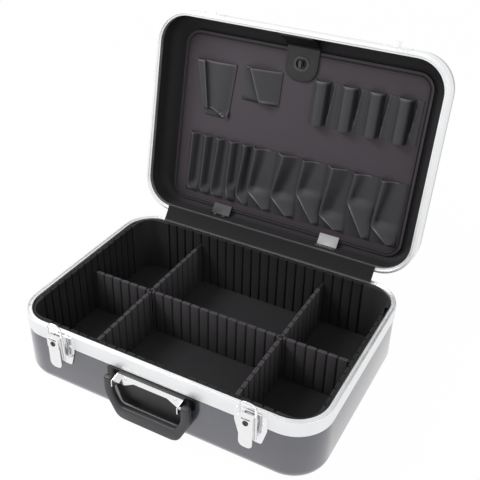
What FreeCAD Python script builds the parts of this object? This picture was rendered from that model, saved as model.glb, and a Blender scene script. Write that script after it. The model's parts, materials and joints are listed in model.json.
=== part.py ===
"""Hard tool case with an aluminium frame, two key latches and a lid tool panel.

The origin lies on the floor under the middle of the base, +Z is up, and the
handle and latches face -Y. The lid's pieces are drawn shut and then turned
open together about the hinge axis.
"""
import FreeCAD, Part
import math
import operator
import os

import Sketcher
from FreeCAD import Placement, Rotation, Vector

# Driving sizes in millimetres, and angles in degrees
SIZES = {
    # Whole case
    "case_width": 460,
    "case_depth": 320,
    "case_corner_radius": 52,
    "base_height": 102,
    "lid_height": 50,
    "parting_gap": 0.3,
    "lid_open_angle": 102.3,
    # Moulded shells
    "shell_wall": 2.5,
    "shell_inset": 0.8,
    "base_edge_radius": 18,
    "lid_edge_radius": 18,
    # Aluminium frames round the rims
    "frame_height": 22,
    "frame_band": 1.6,
    "frame_face": 7.5,
    "frame_block": 5,
    "frame_lip": 1.6,
    "frame_lip_height": 8,
    "seal_groove_width": 3.5,
    "seal_groove_depth": 2.2,
    "seal_groove_inset": 2,
    "seal_tongue_width": 2,
    "seal_tongue_height": 1.6,
    # Clearances and the overrun of every cut
    "soft_gap": 0.3,
    "running_gap": 0.06,
    "side_gap": 0.3,
    "cut_overrun": 1,
    # Ribbed liner, floor pad and dividers of the base
    "rib_pitch": 15.3,
    "rib_groove_width": 3.5,
    "rib_groove_depth": 3.5,
    "liner_wall": 7.2,
    "liner_corner_radius": 28,
    "liner_foot_height": 7.4,
    "liner_top_drop": 2,
    "floor_pad_thickness": 7,
    "floor_pad_corner_radius": 30,
    "floor_pad_chamfer": 6.7,
    "divider_height": 71.5,
    "divider_thickness": 5,
    "divider_tongue": 3,
    "divider_rib_depth": 0.8,
    "divider_rib_width": 3,
    # Hinges
    "hinge_end_gap": 80,
    "hinge_width": 44,
    "hinge_reach": 7,
    "hinge_rise": 4,
    "hinge_barrel_radius": 3.4,
    "hinge_pin_radius": 1.5,
    "hinge_leaf_thickness": 1.5,
    "hinge_leaf_height": 18,
    "hinge_middle_knuckle": 16,
    "hinge_knuckle_gap": 0.5,
    "hinge_stop_gap": 0.2,
    "hinge_stop_thickness": 2.8,
    "hinge_stop_height": 12,
    # Flexible flap over the gap at the hinges
    "flap_left_gap": 49.3,
    "flap_right_gap": 52.3,
    "flap_thickness": 1,
    "flap_inset": 1.4,
    "flap_end_inset": 2.9,
    # Rivets
    "rivet_head_radius": 2.4,
    "rivet_head_height": 0.9,
    "rivet_shank_radius": 1.3,
    # Latch plates
    "latch_end_gap": 86,
    "latch_plate_width": 45,
    "latch_plate_foot_width": 31,
    "latch_plate_thickness": 1.2,
    "latch_plate_top_drop": 3.5,
    "latch_plate_shoulder_drop": 25,
    "latch_plate_bottom_drop": 50,
    "latch_plate_corner_radius": 4,
    "latch_rivet_offset": 16.6,
    "latch_rivet_drop": 17,
    "latch_ear_gap": 13.4,
    "latch_ear_thickness": 1.2,
    "latch_ear_radius": 3,
    "latch_ear_drop": 16,
    "latch_nose_reach": 12.3,
    "latch_pin_radius": 1.5,
    # Latch levers
    "lever_pivot_reach": 8,
    "lever_pivot_drop": 4,
    "lever_width": 19,
    "lever_wall": 1.3,
    "lever_front_reach": 15.5,
    "lever_step": 1,
    "lever_step_drop": 17,
    "lever_back_reach": 4.5,
    "lever_top_rise": 0.5,
    "lever_cheek_drop": 43,
    "lever_tongue_width": 18.6,
    "lever_tongue_drop": 50.5,
    "lever_tongue_radius": 7.3,
    "lever_slot_width": 12,
    "lever_slot_height": 1.8,
    "lever_slot_drop": 2.7,
    # Key locks in the levers
    "lock_drop": 9.5,
    "lock_plug_radius": 3.8,
    "lock_plug_proud": 0.8,
    "lock_plug_depth": 5.6,
    "key_slot_length": 5,
    "key_slot_width": 1.1,
    "key_slot_depth": 2,
    "lock_cam_reach": 7.6,
    "lock_cam_width": 5,
    "lock_cam_thickness": 1,
    "lock_cam_swing": 4.9,
    # Wire bails on the levers
    "bail_pivot_drop": 39,
    "bail_length": 58,
    "bail_width": 25,
    "bail_wire_radius": 1.3,
    "bail_corner_radius": 9,
    "bail_foot_radius": 2,
    "bail_lean": 2,
    "bail_hooked_turn": 4.5,
    # Keepers on the lid
    "keeper_plate_width": 42,
    "keeper_plate_height": 19,
    "keeper_plate_rise": 2,
    "keeper_plate_thickness": 1.2,
    "keeper_hook_width": 9,
    "keeper_hook_thickness": 2.7,
    "keeper_hook_reach": 8.3,
    "keeper_hook_tip": 1.2,
    "keeper_hook_tip_rise": 1.3,
    "keeper_rivet_offset": 14.5,
    "keeper_wire_gap": 0.5,
    # Carrying handle
    "handle_plate_width": 136,
    "handle_plate_height": 56,
    "handle_plate_shoulder": 15,
    "handle_plate_waist": 27,
    "handle_plate_waist_width": 112,
    "handle_plate_foot_width": 94,
    "handle_plate_drop": 23,
    "handle_plate_thickness": 2.3,
    "handle_plate_radius": 5,
    "handle_bracket_width": 101,
    "handle_bracket_height": 9,
    "handle_flare_width": 9,
    "handle_flare_slope": 16,
    "handle_bracket_drop": 28,
    "handle_bracket_thickness": 1.5,
    "handle_ear_height": 18,
    "handle_ear_reach": 16,
    "handle_ear_tip": 5,
    "handle_rivet_offset": 38,
    "handle_pivot_drop": 35,
    "handle_pivot_reach": 11,
    "handle_pin_radius": 2.2,
    "handle_pin_depth": 8,
    "handle_width": 130,
    "handle_arm_width": 12.5,
    "handle_thickness": 9.5,
    "handle_bottom_drop": 95,
    "handle_grip_height": 21,
    "handle_shoulder_drop": 58,
    "handle_foot_width": 92,
    "handle_opening_drop": 55,
    "handle_opening_foot_width": 85.6,
    "handle_corner_radius": 16,
    "handle_edge_radius": 2.4,
    # Cloth lining of the lid
    "lining_thickness": 1.2,
    "lining_rim_rise": 9,
    # Tool panel in the lid
    "panel_side_gap": 30,
    "panel_front_gap": 30,
    "panel_rear_gap": 13,
    "panel_corner_radius": 25,
    "panel_face_rise": 41,
    "panel_facing_thickness": 0.6,
    "panel_board_thickness": 2,
    "panel_piping_width": 2.4,
    "panel_piping_height": 1.2,
    "panel_piping_inset": 4,
    "panel_packing_width": 60,
    # Panel clips
    "clip_width": 32,
    "clip_left_gap": 129,
    "clip_right_gap": 142,
    "clip_thickness": 1.2,
    "clip_wall_gap": 21.4,
    "clip_foot_rise": 24,
    "clip_bend_rise": 31.8,
    "clip_tip_gap": 0.9,
    # Strap and its turn lock
    "strap_width": 52,
    "strap_thickness": 2,
    "strap_foot_height": 8,
    "strap_bend_gap": 27.5,
    "strap_tongue_gap": 76,
    "strap_end_radius": 25,
    "strap_rivet_offset": 18,
    "turn_lock_gap": 50.5,
    "turn_lock_width": 26,
    "turn_lock_height": 22,
    "turn_lock_plate": 1.2,
    "turn_lock_boss_radius": 3.4,
    "turn_lock_boss_height": 4.3,
    "eyelet_width": 25,
    "eyelet_height": 22,
    "eyelet_hole_width": 17,
    "eyelet_hole_height": 14,
    "eyelet_flange": 0.8,
    "eyelet_collar": 1.1,
    "knob_length": 10.6,
    "knob_width": 4.6,
    "knob_height": 4.5,
    "knob_stub_radius": 1.5,
    "knob_stub_length": 3,
    # Cloth pockets of the panel
    "pocket_cloth": 1.2,
    "pocket_base_cloth": 0.6,
    "large_pocket_left": 173,
    "large_pocket_right": 106,
    "large_pocket_foot_left": 152,
    "large_pocket_foot_right": 112,
    "large_pocket_top_share": 0.275,
    "large_pocket_foot_share": 0.00625,
    "large_pocket_depth": 15,
    "box_pocket_left": 92,
    "box_pocket_right": 28,
    "box_pocket_top_share": 0.284375,
    "box_pocket_bottom_share": 0.120625,
    "box_pocket_depth": 20,
    "tube_loop_first": 41,
    "tube_loop_pitch": 42,
    "tube_loop_width": 38,
    "tube_loop_rise": 17,
    "tube_loop_top_share": 0.2875,
    "tube_loop_bottom_share": 0.084375,
    "flat_pocket_top_share": 0.09375,
    "flat_pocket_bottom_share": 0.40625,
    "narrow_pocket_first": 164,
    "narrow_pocket_pitch": 23.5,
    "narrow_pocket_width": 20,
    "narrow_pocket_rise": 7.5,
    "wide_pocket_first": 39,
    "wide_pocket_pitch": 42,
    "wide_pocket_width": 38,
    "wide_pocket_rise": 11,
}

# Counts of what repeats
CROSS_DIVIDER_GROOVES = 7
TUBE_LOOPS = 4
NARROW_POCKETS = 5
WIDE_POCKETS = 6

ACTIONS = {
    "+": operator.add,
    "-": operator.sub,
    "*": operator.mul,
    "/": operator.truediv,
}


class Size:
    """A length or an angle: its value, and its formula on the sheet."""

    def __init__(self, value, formula):
        self.value = value
        self.formula = formula

    def __add__(self, other):
        return joined(self, "+", other)

    def __radd__(self, other):
        return joined(other, "+", self)

    def __sub__(self, other):
        return joined(self, "-", other)

    def __rsub__(self, other):
        return joined(other, "-", self)

    def __mul__(self, other):
        return joined(self, "*", other)

    def __rmul__(self, other):
        return joined(other, "*", self)

    def __truediv__(self, other):
        return joined(self, "/", other)

    def __neg__(self):
        return joined(0, "-", self)


def as_size(item):
    """Give a plain count or zero the form of a size."""
    if isinstance(item, Size):
        return item
    return Size(item, repr(item))


def joined(first, sign, second):
    """Join two sizes, in value and in formula."""
    first = as_size(first)
    second = as_size(second)
    value = ACTIONS[sign](first.value, second.value)
    return Size(value, f"({first.formula} {sign} {second.formula})")


def cosine(angle):
    return Size(math.cos(math.radians(angle.value)), f"cos({angle.formula} * 1 deg)")


def sine(angle):
    return Size(math.sin(math.radians(angle.value)), f"sin({angle.formula} * 1 deg)")


class Sheet:
    """The spreadsheet of driving sizes: each alias is read as an attribute."""

    def __init__(self, document, table):
        sheet = document.addObject("Spreadsheet::Sheet", "sizes")
        for row, (alias, value) in enumerate(table.items(), start=1):
            sheet.set(f"A{row}", alias)
            sheet.set(f"B{row}", str(value))
            sheet.setAlias(f"B{row}", alias)
            setattr(self, alias, Size(value, f"sizes.{alias}"))
        document.recompute()


DOCUMENT = FreeCAD.newDocument("tool_case")
s = Sheet(DOCUMENT, SIZES)
PIECES = []

# How closely two places have to agree to count as one
SAME_PLACE = 1e-5

# Levels and faces that several pieces share
rim = s.base_height
half_width = s.case_width / 2
half_depth = s.case_depth / 2
front = -half_depth
hinge_spacing = s.case_width - 2 * s.hinge_end_gap
latch_spacing = s.case_width - 2 * s.latch_end_gap
flap_left = half_width - s.flap_left_gap
flap_right = half_width - s.flap_right_gap
panel_width = s.case_width - 2 * s.panel_side_gap
panel_front = half_depth - s.panel_front_gap
panel_rear = half_depth - s.panel_rear_gap
clip_left = half_width - s.clip_left_gap
clip_right = half_width - s.clip_right_gap
clip_reach = half_depth - s.clip_wall_gap
strap_bend = half_depth - s.strap_bend_gap
strap_tongue = half_depth - s.strap_tongue_gap
turn_lock_place = half_depth - s.turn_lock_gap
lid_face = rim + s.parting_gap
lid_top = s.base_height + s.lid_height
shell_half_width = half_width - s.shell_inset
shell_half_depth = half_depth - s.shell_inset
cavity_half_width = shell_half_width - s.shell_wall
cavity_half_depth = shell_half_depth - s.shell_wall
cavity_radius = s.case_corner_radius - s.shell_inset - s.shell_wall
mouth_half_width = half_width - s.frame_face
mouth_half_depth = half_depth - s.frame_face
mouth_radius = s.case_corner_radius - s.frame_face
floor_top = s.shell_wall + s.floor_pad_thickness
hinge_y = half_depth + s.hinge_reach
hinge_z = rim + s.hinge_rise
panel_face = rim + s.panel_face_rise


def bind(item, target, size):
    """Tie one property of an object to its formula."""
    item.setExpression(target, as_size(size).formula)


def finish_piece(item, label):
    """Name a finished piece and put it on the list that is written out."""
    item.Label = label
    PIECES.append(item)
    return item


def open_with_lid(item):
    """Turn a piece that is drawn shut about the hinge axis to the open lid."""
    angle = s.lid_open_angle
    moved_y = hinge_y - (hinge_y * cosine(angle) + hinge_z * sine(angle))
    moved_z = hinge_z - (hinge_z * cosine(angle) - hinge_y * sine(angle))
    turn = Rotation(Vector(-1, 0, 0), angle.value)
    item.Placement = Placement(Vector(0, moved_y.value, moved_z.value), turn)
    bind(item, "Placement.Rotation.Angle", angle)
    bind(item, "Placement.Base.y", moved_y)
    bind(item, "Placement.Base.z", moved_z)


def new_body(label):
    body = DOCUMENT.addObject("PartDesign::Body", label)
    return finish_piece(body, label)


def origin_plane(body, role):
    planes = body.Origin.OriginFeatures
    return next(plane for plane in planes if plane.Role == role)


def start_sketch(body, role, level, across=0, along=0):
    """Start a sketch on an origin plane, moved along its normal and in its plane."""
    sketch = body.newObject("Sketcher::SketchObject", body.Label + "_sketch")
    sketch.AttachmentSupport = [(origin_plane(body, role), "")]
    sketch.MapMode = "FlatFace"
    bind(sketch, "AttachmentOffset.Base.x", across)
    bind(sketch, "AttachmentOffset.Base.y", along)
    bind(sketch, "AttachmentOffset.Base.z", level)
    return sketch


def constrain(sketch, size, *rule):
    """Add a dimension to a sketch and tie it to its formula."""
    index = sketch.addConstraint(Sketcher.Constraint(*rule, as_size(size).value))
    name = f"size_{index}"
    sketch.renameConstraint(index, name)
    bind(sketch, f"Constraints.{name}", size)


def draw_circle(sketch, radius):
    normal = Vector(0, 0, 1)
    circle = sketch.addGeometry(Part.Circle(Vector(0, 0, 0), normal, radius.value), False)
    sketch.addConstraint(Sketcher.Constraint("Coincident", circle, 3, -1, 1))
    constrain(sketch, radius, "Radius", circle)


def draw_polygon(sketch, corners):
    """Draw a closed outline of straight sides through its corners."""
    spots = [Vector(as_size(a).value, as_size(b).value, 0) for a, b in corners]
    count = len(spots)
    first = sketch.GeometryCount
    for index, spot in enumerate(spots):
        sketch.addGeometry(Part.LineSegment(spot, spots[(index + 1) % count]), False)
    for index, (across, along) in enumerate(corners):
        line = first + index
        following = first + (index + 1) % count
        sketch.addConstraint(Sketcher.Constraint("Coincident", line, 2, following, 1))
        constrain(sketch, across, "DistanceX", -1, 1, line, 1)
        constrain(sketch, along, "DistanceY", -1, 1, line, 1)


def draw_rounded(sketch, width, height, radius):
    """Draw a centred rectangle with rounded corners."""
    x = width.value / 2
    y = height.value / 2
    r = radius.value
    normal = Vector(0, 0, 1)
    sides = [
        (Vector(r - x, -y, 0), Vector(x - r, -y, 0)),
        (Vector(x, r - y, 0), Vector(x, y - r, 0)),
        (Vector(x - r, y, 0), Vector(r - x, y, 0)),
        (Vector(-x, y - r, 0), Vector(-x, r - y, 0)),
    ]
    centres = [
        Vector(x - r, r - y, 0),
        Vector(x - r, y - r, 0),
        Vector(r - x, y - r, 0),
        Vector(r - x, r - y, 0),
    ]
    first = sketch.GeometryCount
    for side in sides:
        sketch.addGeometry(Part.LineSegment(*side), False)
    for index, centre in enumerate(centres):
        start = math.radians(90 * index - 90)
        circle = Part.Circle(centre, normal, r)
        arc = Part.ArcOfCircle(circle, start, start + math.radians(90))
        sketch.addGeometry(arc, False)
    for index in range(4):
        side = first + index
        arc = first + 4 + index
        following = first + (index + 1) % 4
        sketch.addConstraint(Sketcher.Constraint("Tangent", side, 2, arc, 1))
        sketch.addConstraint(Sketcher.Constraint("Tangent", arc, 2, following, 1))
    for index in range(2):
        sketch.addConstraint(Sketcher.Constraint("Horizontal", first + 2 * index))
        sketch.addConstraint(Sketcher.Constraint("Vertical", first + 2 * index + 1))
    for index in range(1, 4):
        sketch.addConstraint(Sketcher.Constraint("Equal", first + 4, first + 4 + index))
    sketch.addConstraint(Sketcher.Constraint("Symmetric", first + 4, 3, first + 6, 3, -1, 1))
    constrain(sketch, radius, "Radius", first + 4)
    constrain(sketch, width, "DistanceX", first + 3, 1, first + 1, 1)
    constrain(sketch, height, "DistanceY", first, 1, first + 2, 1)


def draw_bulge(sketch, width, rise):
    """Draw an arch that hangs below its chord, as stuffed cloth does."""
    x = width.value / 2
    radius = (width * width / 4 + rise * rise) / (2 * rise)
    left = Vector(-x, 0, 0)
    right = Vector(x, 0, 0)
    chord = sketch.addGeometry(Part.LineSegment(right, left), False)
    arc = sketch.addGeometry(Part.Arc(left, Vector(0, -rise.value, 0), right), False)
    sketch.addConstraint(Sketcher.Constraint("Coincident", chord, 2, arc, 1))
    sketch.addConstraint(Sketcher.Constraint("Coincident", chord, 1, arc, 2))
    sketch.addConstraint(Sketcher.Constraint("Symmetric", chord, 1, chord, 2, -1, 1))
    sketch.addConstraint(Sketcher.Constraint("Horizontal", chord))
    constrain(sketch, width, "DistanceX", chord, 2, chord, 1)
    constrain(sketch, radius, "Radius", arc)


def grow(body, sketch, length, onward=True):
    """Pad a sketch along its normal, or back from it."""
    pad = body.newObject("PartDesign::Pad", body.Label + "_pad")
    pad.Profile = sketch
    bind(pad, "Length", length)
    pad.Reversed = not onward
    return pad


def hollow(body, sketch, length, onward=True):
    """Cut a sketch along its normal, or back from it."""
    pocket = body.newObject("PartDesign::Pocket", body.Label + "_pocket")
    pocket.Profile = sketch
    bind(pocket, "Length", length)
    pocket.Reversed = onward
    return pocket


def repeat(body, feature, sketch, axis, step, count):
    """Repeat a feature in a row along one axis of its own sketch."""
    pattern = body.newObject("PartDesign::LinearPattern", body.Label + "_row")
    pattern.Originals = [feature]
    pattern.Direction = (sketch, [axis])
    pattern.Occurrences = count
    bind(pattern, "Length", step * (count - 1))
    body.Tip = pattern
    return pattern


def round_edges(body, radius, wanted, kind="Fillet"):
    """Round or bevel the edges of a body that pass a test."""
    DOCUMENT.recompute()
    base = body.Tip
    names = [f"Edge{index}" for index, edge in enumerate(base.Shape.Edges, 1) if wanted(edge)]
    feature = body.newObject("PartDesign::" + kind, body.Label + "_edges")
    feature.Base = (base, names)
    bind(feature, "Radius" if kind == "Fillet" else "Size", radius)
    body.Tip = feature
    return feature


def flat_at(level):
    """A test for edges that lie flat at one height."""
    height = as_size(level).value

    def wanted(edge):
        bounds = edge.BoundBox
        return max(abs(bounds.ZMin - height), abs(bounds.ZMax - height)) < SAME_PLACE
    return wanted


def block(label, low, high):
    """A box from its low corner to its high corner."""
    item = DOCUMENT.addObject("Part::Box", label)
    for name, axis, start, end in zip(("Length", "Width", "Height"), "xyz", low, high):
        bind(item, name, end - start)
        bind(item, f"Placement.Base.{axis}", start)
    return item


AXIS_TURNS = {
    "x": Rotation(Vector(0, 1, 0), 90),
    "y": Rotation(Vector(1, 0, 0), -90),
    "z": Rotation(),
}


def rod(label, start, axis, radius, length):
    """A cylinder from its start point along one axis."""
    item = DOCUMENT.addObject("Part::Cylinder", label)
    item.Placement = Placement(Vector(), AXIS_TURNS[axis])
    bind(item, "Radius", radius)
    bind(item, "Height", length)
    for name, place in zip("xyz", start):
        bind(item, f"Placement.Base.{name}", place)
    return item


def fused(label, *items):
    item = DOCUMENT.addObject("Part::MultiFuse", label)
    item.Shapes = list(items)
    return item


def cut_from(label, base, *tools):
    """Take one or more solids out of another."""
    item = DOCUMENT.addObject("Part::Cut", label)
    item.Base = base
    item.Tool = tools[0] if len(tools) == 1 else fused(label + "_tools", *tools)
    return item


def gathered(label, *items):
    """Hold separate solids of one kind together without joining them."""
    item = DOCUMENT.addObject("Part::Compound", label)
    item.Links = list(items)
    return item


def rivet(label, x, z, seat, plate, outward):
    """A rivet through a plate, its head standing along Y from the plate's face."""
    head = s.rivet_head_height
    if outward < 0:
        head_start = seat - plate - head
        shank_start = seat - plate
    else:
        head_start = seat + plate
        shank_start = seat
    dome = rod(label + "_head", (x, head_start, z), "y", s.rivet_head_radius, head)
    shank = rod(label + "_shank", (x, shank_start, z), "y", s.rivet_shank_radius, plate)
    return fused(label, dome, shank)


def drill(body, x, z, radius, near, far):
    """Cut a round hole along Y from one depth to another."""
    sketch = start_sketch(body, "XZ_Plane", -near, x, z)
    draw_circle(sketch, radius)
    return hollow(body, sketch, far - near, onward=False)


def make_shell(label, rim_level, far_level, edge_radius, up):
    """A moulded half: full width below its frame, and a collar that fits inside it."""
    body = new_body(label)
    collar_level = rim_level + up * s.frame_block
    band_level = rim_level + up * s.frame_height
    sketch = start_sketch(body, "XY_Plane", far_level)
    radius = s.case_corner_radius - s.shell_inset
    draw_rounded(sketch, 2 * shell_half_width, 2 * shell_half_depth, radius)
    grow(body, sketch, up * (far_level - band_level), onward=up < 0)
    collar = start_sketch(body, "XY_Plane", band_level)
    collar_width = s.case_width - 2 * s.frame_band
    collar_depth = s.case_depth - 2 * s.frame_band
    draw_rounded(collar, collar_width, collar_depth, s.case_corner_radius - s.frame_band)
    grow(body, collar, up * (band_level - collar_level), onward=up < 0)
    cavity = start_sketch(body, "XY_Plane", collar_level)
    draw_rounded(cavity, 2 * cavity_half_width, 2 * cavity_half_depth, cavity_radius)
    inner_level = far_level - up * s.shell_wall
    hollow(body, cavity, up * (inner_level - collar_level), onward=up > 0)
    round_edges(body, edge_radius - s.shell_wall, flat_at(inner_level))
    round_edges(body, edge_radius, flat_at(far_level))
    return body


def make_frame(label, face_level, up):
    """An aluminium frame: outer band, face, and an inner lip."""
    body = new_body(label)
    width = s.case_width
    depth = s.case_depth
    radius = s.case_corner_radius
    outline = start_sketch(body, "XY_Plane", face_level)
    draw_rounded(outline, width, depth, radius)
    grow(body, outline, s.frame_height, onward=up > 0)
    far_level = face_level + up * s.frame_height
    band = 2 * s.frame_band
    lip = 2 * (s.frame_face - s.frame_lip)
    chamber = start_sketch(body, "XY_Plane", far_level)
    draw_rounded(chamber, width - band, depth - band, radius - s.frame_band)
    hollow(body, chamber, s.frame_height - s.frame_lip_height, onward=up < 0)
    channel = start_sketch(body, "XY_Plane", far_level)
    draw_rounded(channel, width - band, depth - band, radius - s.frame_band)
    draw_rounded(channel, width - lip, depth - lip, radius - lip / 2)
    hollow(body, channel, s.frame_height - s.frame_block, onward=up < 0)
    mouth = start_sketch(body, "XY_Plane", far_level)
    draw_rounded(mouth, 2 * mouth_half_width, 2 * mouth_half_depth, mouth_radius)
    hollow(body, mouth, s.frame_height, onward=up < 0)
    return body


def draw_ring(sketch, inset, ring_width):
    """Draw a ring that follows the case outline at an inset."""
    for offset in (inset, inset + ring_width):
        radius = s.case_corner_radius - offset
        draw_rounded(sketch, s.case_width - 2 * offset, s.case_depth - 2 * offset, radius)


def make_base_frame():
    body = make_frame("base_frame", rim, -1)
    groove = start_sketch(body, "XY_Plane", rim)
    draw_ring(groove, s.seal_groove_inset, s.seal_groove_width)
    hollow(body, groove, s.seal_groove_depth, onward=False)


def make_lid_frame():
    body = make_frame("lid_frame", lid_face, 1)
    inset = s.seal_groove_inset + (s.seal_groove_width - s.seal_tongue_width) / 2
    tongue = start_sketch(body, "XY_Plane", lid_face)
    draw_ring(tongue, inset, s.seal_tongue_width)
    grow(body, tongue, s.seal_tongue_height, onward=False)
    open_with_lid(body)


def whole_grooves(reach):
    """How many rib pitches fit between the middle and a corner."""
    return int(reach.value / s.rib_pitch.value)


liner_half_width = mouth_half_width - s.soft_gap
liner_half_depth = mouth_half_depth - s.soft_gap
crest_half_width = liner_half_width - s.liner_wall
crest_half_depth = liner_half_depth - s.liner_wall


def groove_row(body, level, depth, reach, long_half, along_x):
    """Cut one row of upright grooves across both facing walls of the liner."""
    count = whole_grooves(reach)
    start = -count * s.rib_pitch
    length = 2 * (long_half + s.rib_groove_depth)
    if along_x:
        sketch = start_sketch(body, "XY_Plane", level, start, 0)
        sizes = (s.rib_groove_width / 2, length / 2)
        axis = "H_Axis"
    else:
        sketch = start_sketch(body, "XY_Plane", level, 0, start)
        sizes = (length / 2, s.rib_groove_width / 2)
        axis = "V_Axis"
    x, y = sizes
    draw_polygon(sketch, [(-x, -y), (x, -y), (x, y), (-x, y)])
    pocket = hollow(body, sketch, depth, onward=False)
    repeat(body, pocket, sketch, axis, s.rib_pitch, 2 * count + 1)


def make_liner():
    """A foam ring with upright grooves that hold the dividers."""
    body = new_body("base_liner")
    top = rim - s.liner_top_drop
    height = top - s.liner_foot_height
    outline = start_sketch(body, "XY_Plane", top)
    draw_rounded(outline, 2 * liner_half_width, 2 * liner_half_depth, mouth_radius - s.soft_gap)
    draw_rounded(outline, 2 * crest_half_width, 2 * crest_half_depth, s.liner_corner_radius)
    grow(body, outline, height, onward=False)
    corner = s.liner_corner_radius + s.rib_groove_width
    groove_row(body, top, height, crest_half_width - corner, crest_half_depth, True)
    groove_row(body, top, height, crest_half_depth - corner, crest_half_width, False)


def make_floor_pad():
    body = new_body("base_floor_pad")
    width = 2 * (crest_half_width - s.soft_gap)
    depth = 2 * (crest_half_depth - s.soft_gap)
    sketch = start_sketch(body, "XY_Plane", s.shell_wall)
    draw_rounded(sketch, width, depth, s.floor_pad_corner_radius)
    grow(body, sketch, s.floor_pad_thickness)
    round_edges(body, s.floor_pad_chamfer, flat_at(s.shell_wall), "Chamfer")


def make_divider(label, place, half_length, along_x, notches, notch_from_top):
    """A ribbed foam board whose thin ends stand in the liner's grooves."""
    body = new_body(label)
    low = floor_top
    high = low + s.divider_height
    half = s.divider_thickness / 2
    board = half_length - s.soft_gap
    tongue = half_length + s.rib_groove_depth - s.soft_gap

    def face(along_half, across_half):
        if along_x:
            return along_half, across_half
        return across_half, along_half

    for along_half, across_half in ((board, half), (tongue, s.divider_tongue / 2)):
        sketch = start_sketch(body, "XY_Plane", low, place, 0)
        x, y = face(along_half, across_half)
        draw_polygon(sketch, [(-x, -y), (x, -y), (x, y), (-x, y)])
        grow(body, sketch, s.divider_height)
    count = whole_grooves(half_length)
    start = -(count - 1) * s.rib_pitch - s.rib_pitch / 2
    for side in (-1, 1):
        middle = side * half
        x, y = face(s.divider_rib_width / 2, s.divider_rib_depth)
        if along_x:
            sketch = start_sketch(body, "XY_Plane", high, start, middle)
            axis = "H_Axis"
        else:
            sketch = start_sketch(body, "XY_Plane", high, place + middle, start)
            axis = "V_Axis"
        draw_polygon(sketch, [(-x, -y), (x, -y), (x, y), (-x, y)])
        pocket = hollow(body, sketch, s.divider_height, onward=False)
        repeat(body, pocket, sketch, axis, s.rib_pitch, 2 * count)
    notch_half = half + s.soft_gap / 2
    notch_height = s.divider_height / 2 + s.soft_gap / 2
    level = high if notch_from_top else low
    for notch in notches:
        across, along = (notch, 0) if along_x else (place, notch)
        x, y = face(notch_half, half + s.cut_overrun)
        sketch = start_sketch(body, "XY_Plane", level, across, along)
        draw_polygon(sketch, [(-x, -y), (x, -y), (x, y), (-x, y)])
        hollow(body, sketch, notch_height, onward=not notch_from_top)
    return body


def make_dividers():
    place = s.rib_pitch * CROSS_DIVIDER_GROOVES
    make_divider("long_divider", 0, crest_half_width, True, (-place, place), True)
    make_divider("left_cross_divider", -place, crest_half_depth, False, (0,), False)
    make_divider("right_cross_divider", place, crest_half_depth, False, (0,), False)


def make_hinge(side, place):
    """A two-leaf hinge behind the rims: outer knuckles below, middle one above."""
    half = s.hinge_width / 2
    middle = s.hinge_middle_knuckle / 2
    gap = s.hinge_knuckle_gap
    barrel = s.hinge_barrel_radius
    leaf = s.hinge_leaf_thickness
    bore = s.hinge_pin_radius
    over = s.cut_overrun
    low = hinge_z - barrel
    high = hinge_z + barrel
    left = place - half
    right = place + half
    web_top = low + leaf
    plate = block("base_leaf", (left, half_depth, rim - s.hinge_leaf_height),
                  (right, half_depth + leaf, web_top))
    parts = [plate]
    for start, end in ((left, place - middle - gap), (place + middle + gap, right)):
        parts.append(block("web", (start, half_depth, low), (end, hinge_y, web_top)))
        parts.append(rod("knuckle", (start, hinge_y, hinge_z), "x", barrel, end - start))
        stop = block("stop", (start, 0, 0), (end, s.hinge_stop_thickness, s.hinge_stop_height))
        angle = s.lid_open_angle
        reach = s.hinge_reach - leaf - s.hinge_stop_gap
        stop.Placement = Placement(Vector(), Rotation(Vector(-1, 0, 0), angle.value))
        bind(stop, "Placement.Rotation.Angle", angle)
        bind(stop, "Placement.Base.x", start)
        bind(stop, "Placement.Base.y", hinge_y - reach * cosine(angle))
        bind(stop, "Placement.Base.z", hinge_z + reach * sine(angle))
        parts.append(stop)
    bore_tool = rod("bore", (left - over, hinge_y, hinge_z), "x", bore, s.hinge_width + 2 * over)
    rivet_places = [place - half / 2, place + half / 2]
    low_rivet = rim - s.hinge_leaf_height / 2
    holes = [rod("hole", (x, half_depth - over, low_rivet), "y", s.rivet_shank_radius,
                 leaf + 2 * over) for x in rivet_places]
    base_leaf = cut_from("base_leaf_cut", fused("base_leaf_parts", *parts), bore_tool, *holes)
    finish_piece(base_leaf, f"{side}_hinge_base_leaf")

    lid_low = web_top + gap
    lid_high = lid_face + s.hinge_leaf_height
    lid_plate = block("lid_leaf", (left, half_depth, lid_low), (right, half_depth + leaf, lid_high))
    lid_web = block("web", (place - middle, half_depth, high - leaf),
                    (place + middle, hinge_y, high))
    knuckle = rod("knuckle", (place - middle, hinge_y, hinge_z), "x", barrel, 2 * middle)
    running = rod("bore", (place - half, hinge_y, hinge_z), "x", bore + s.running_gap,
                  s.hinge_width)
    high_rivet = lid_low + (lid_high - lid_low) / 2 + barrel
    lid_places = [place - middle / 2, place + middle / 2]
    lid_holes = [rod("hole", (x, half_depth - over, high_rivet), "y", s.rivet_shank_radius,
                     leaf + 2 * over) for x in lid_places]
    lid_leaf = cut_from("lid_leaf_cut", fused("lid_leaf_parts", lid_plate, lid_web, knuckle),
                        running, *lid_holes)
    open_with_lid(lid_leaf)
    finish_piece(lid_leaf, f"{side}_hinge_lid_leaf")

    pin = rod("pin", (left, hinge_y, hinge_z), "x", bore, s.hinge_width)
    base_rivets = [rivet("rivet", x, low_rivet, half_depth, leaf, 1) for x in rivet_places]
    lid_rivets = [rivet("rivet", x, high_rivet, half_depth, leaf, 1) for x in lid_places]
    return pin, base_rivets, lid_rivets


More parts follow.
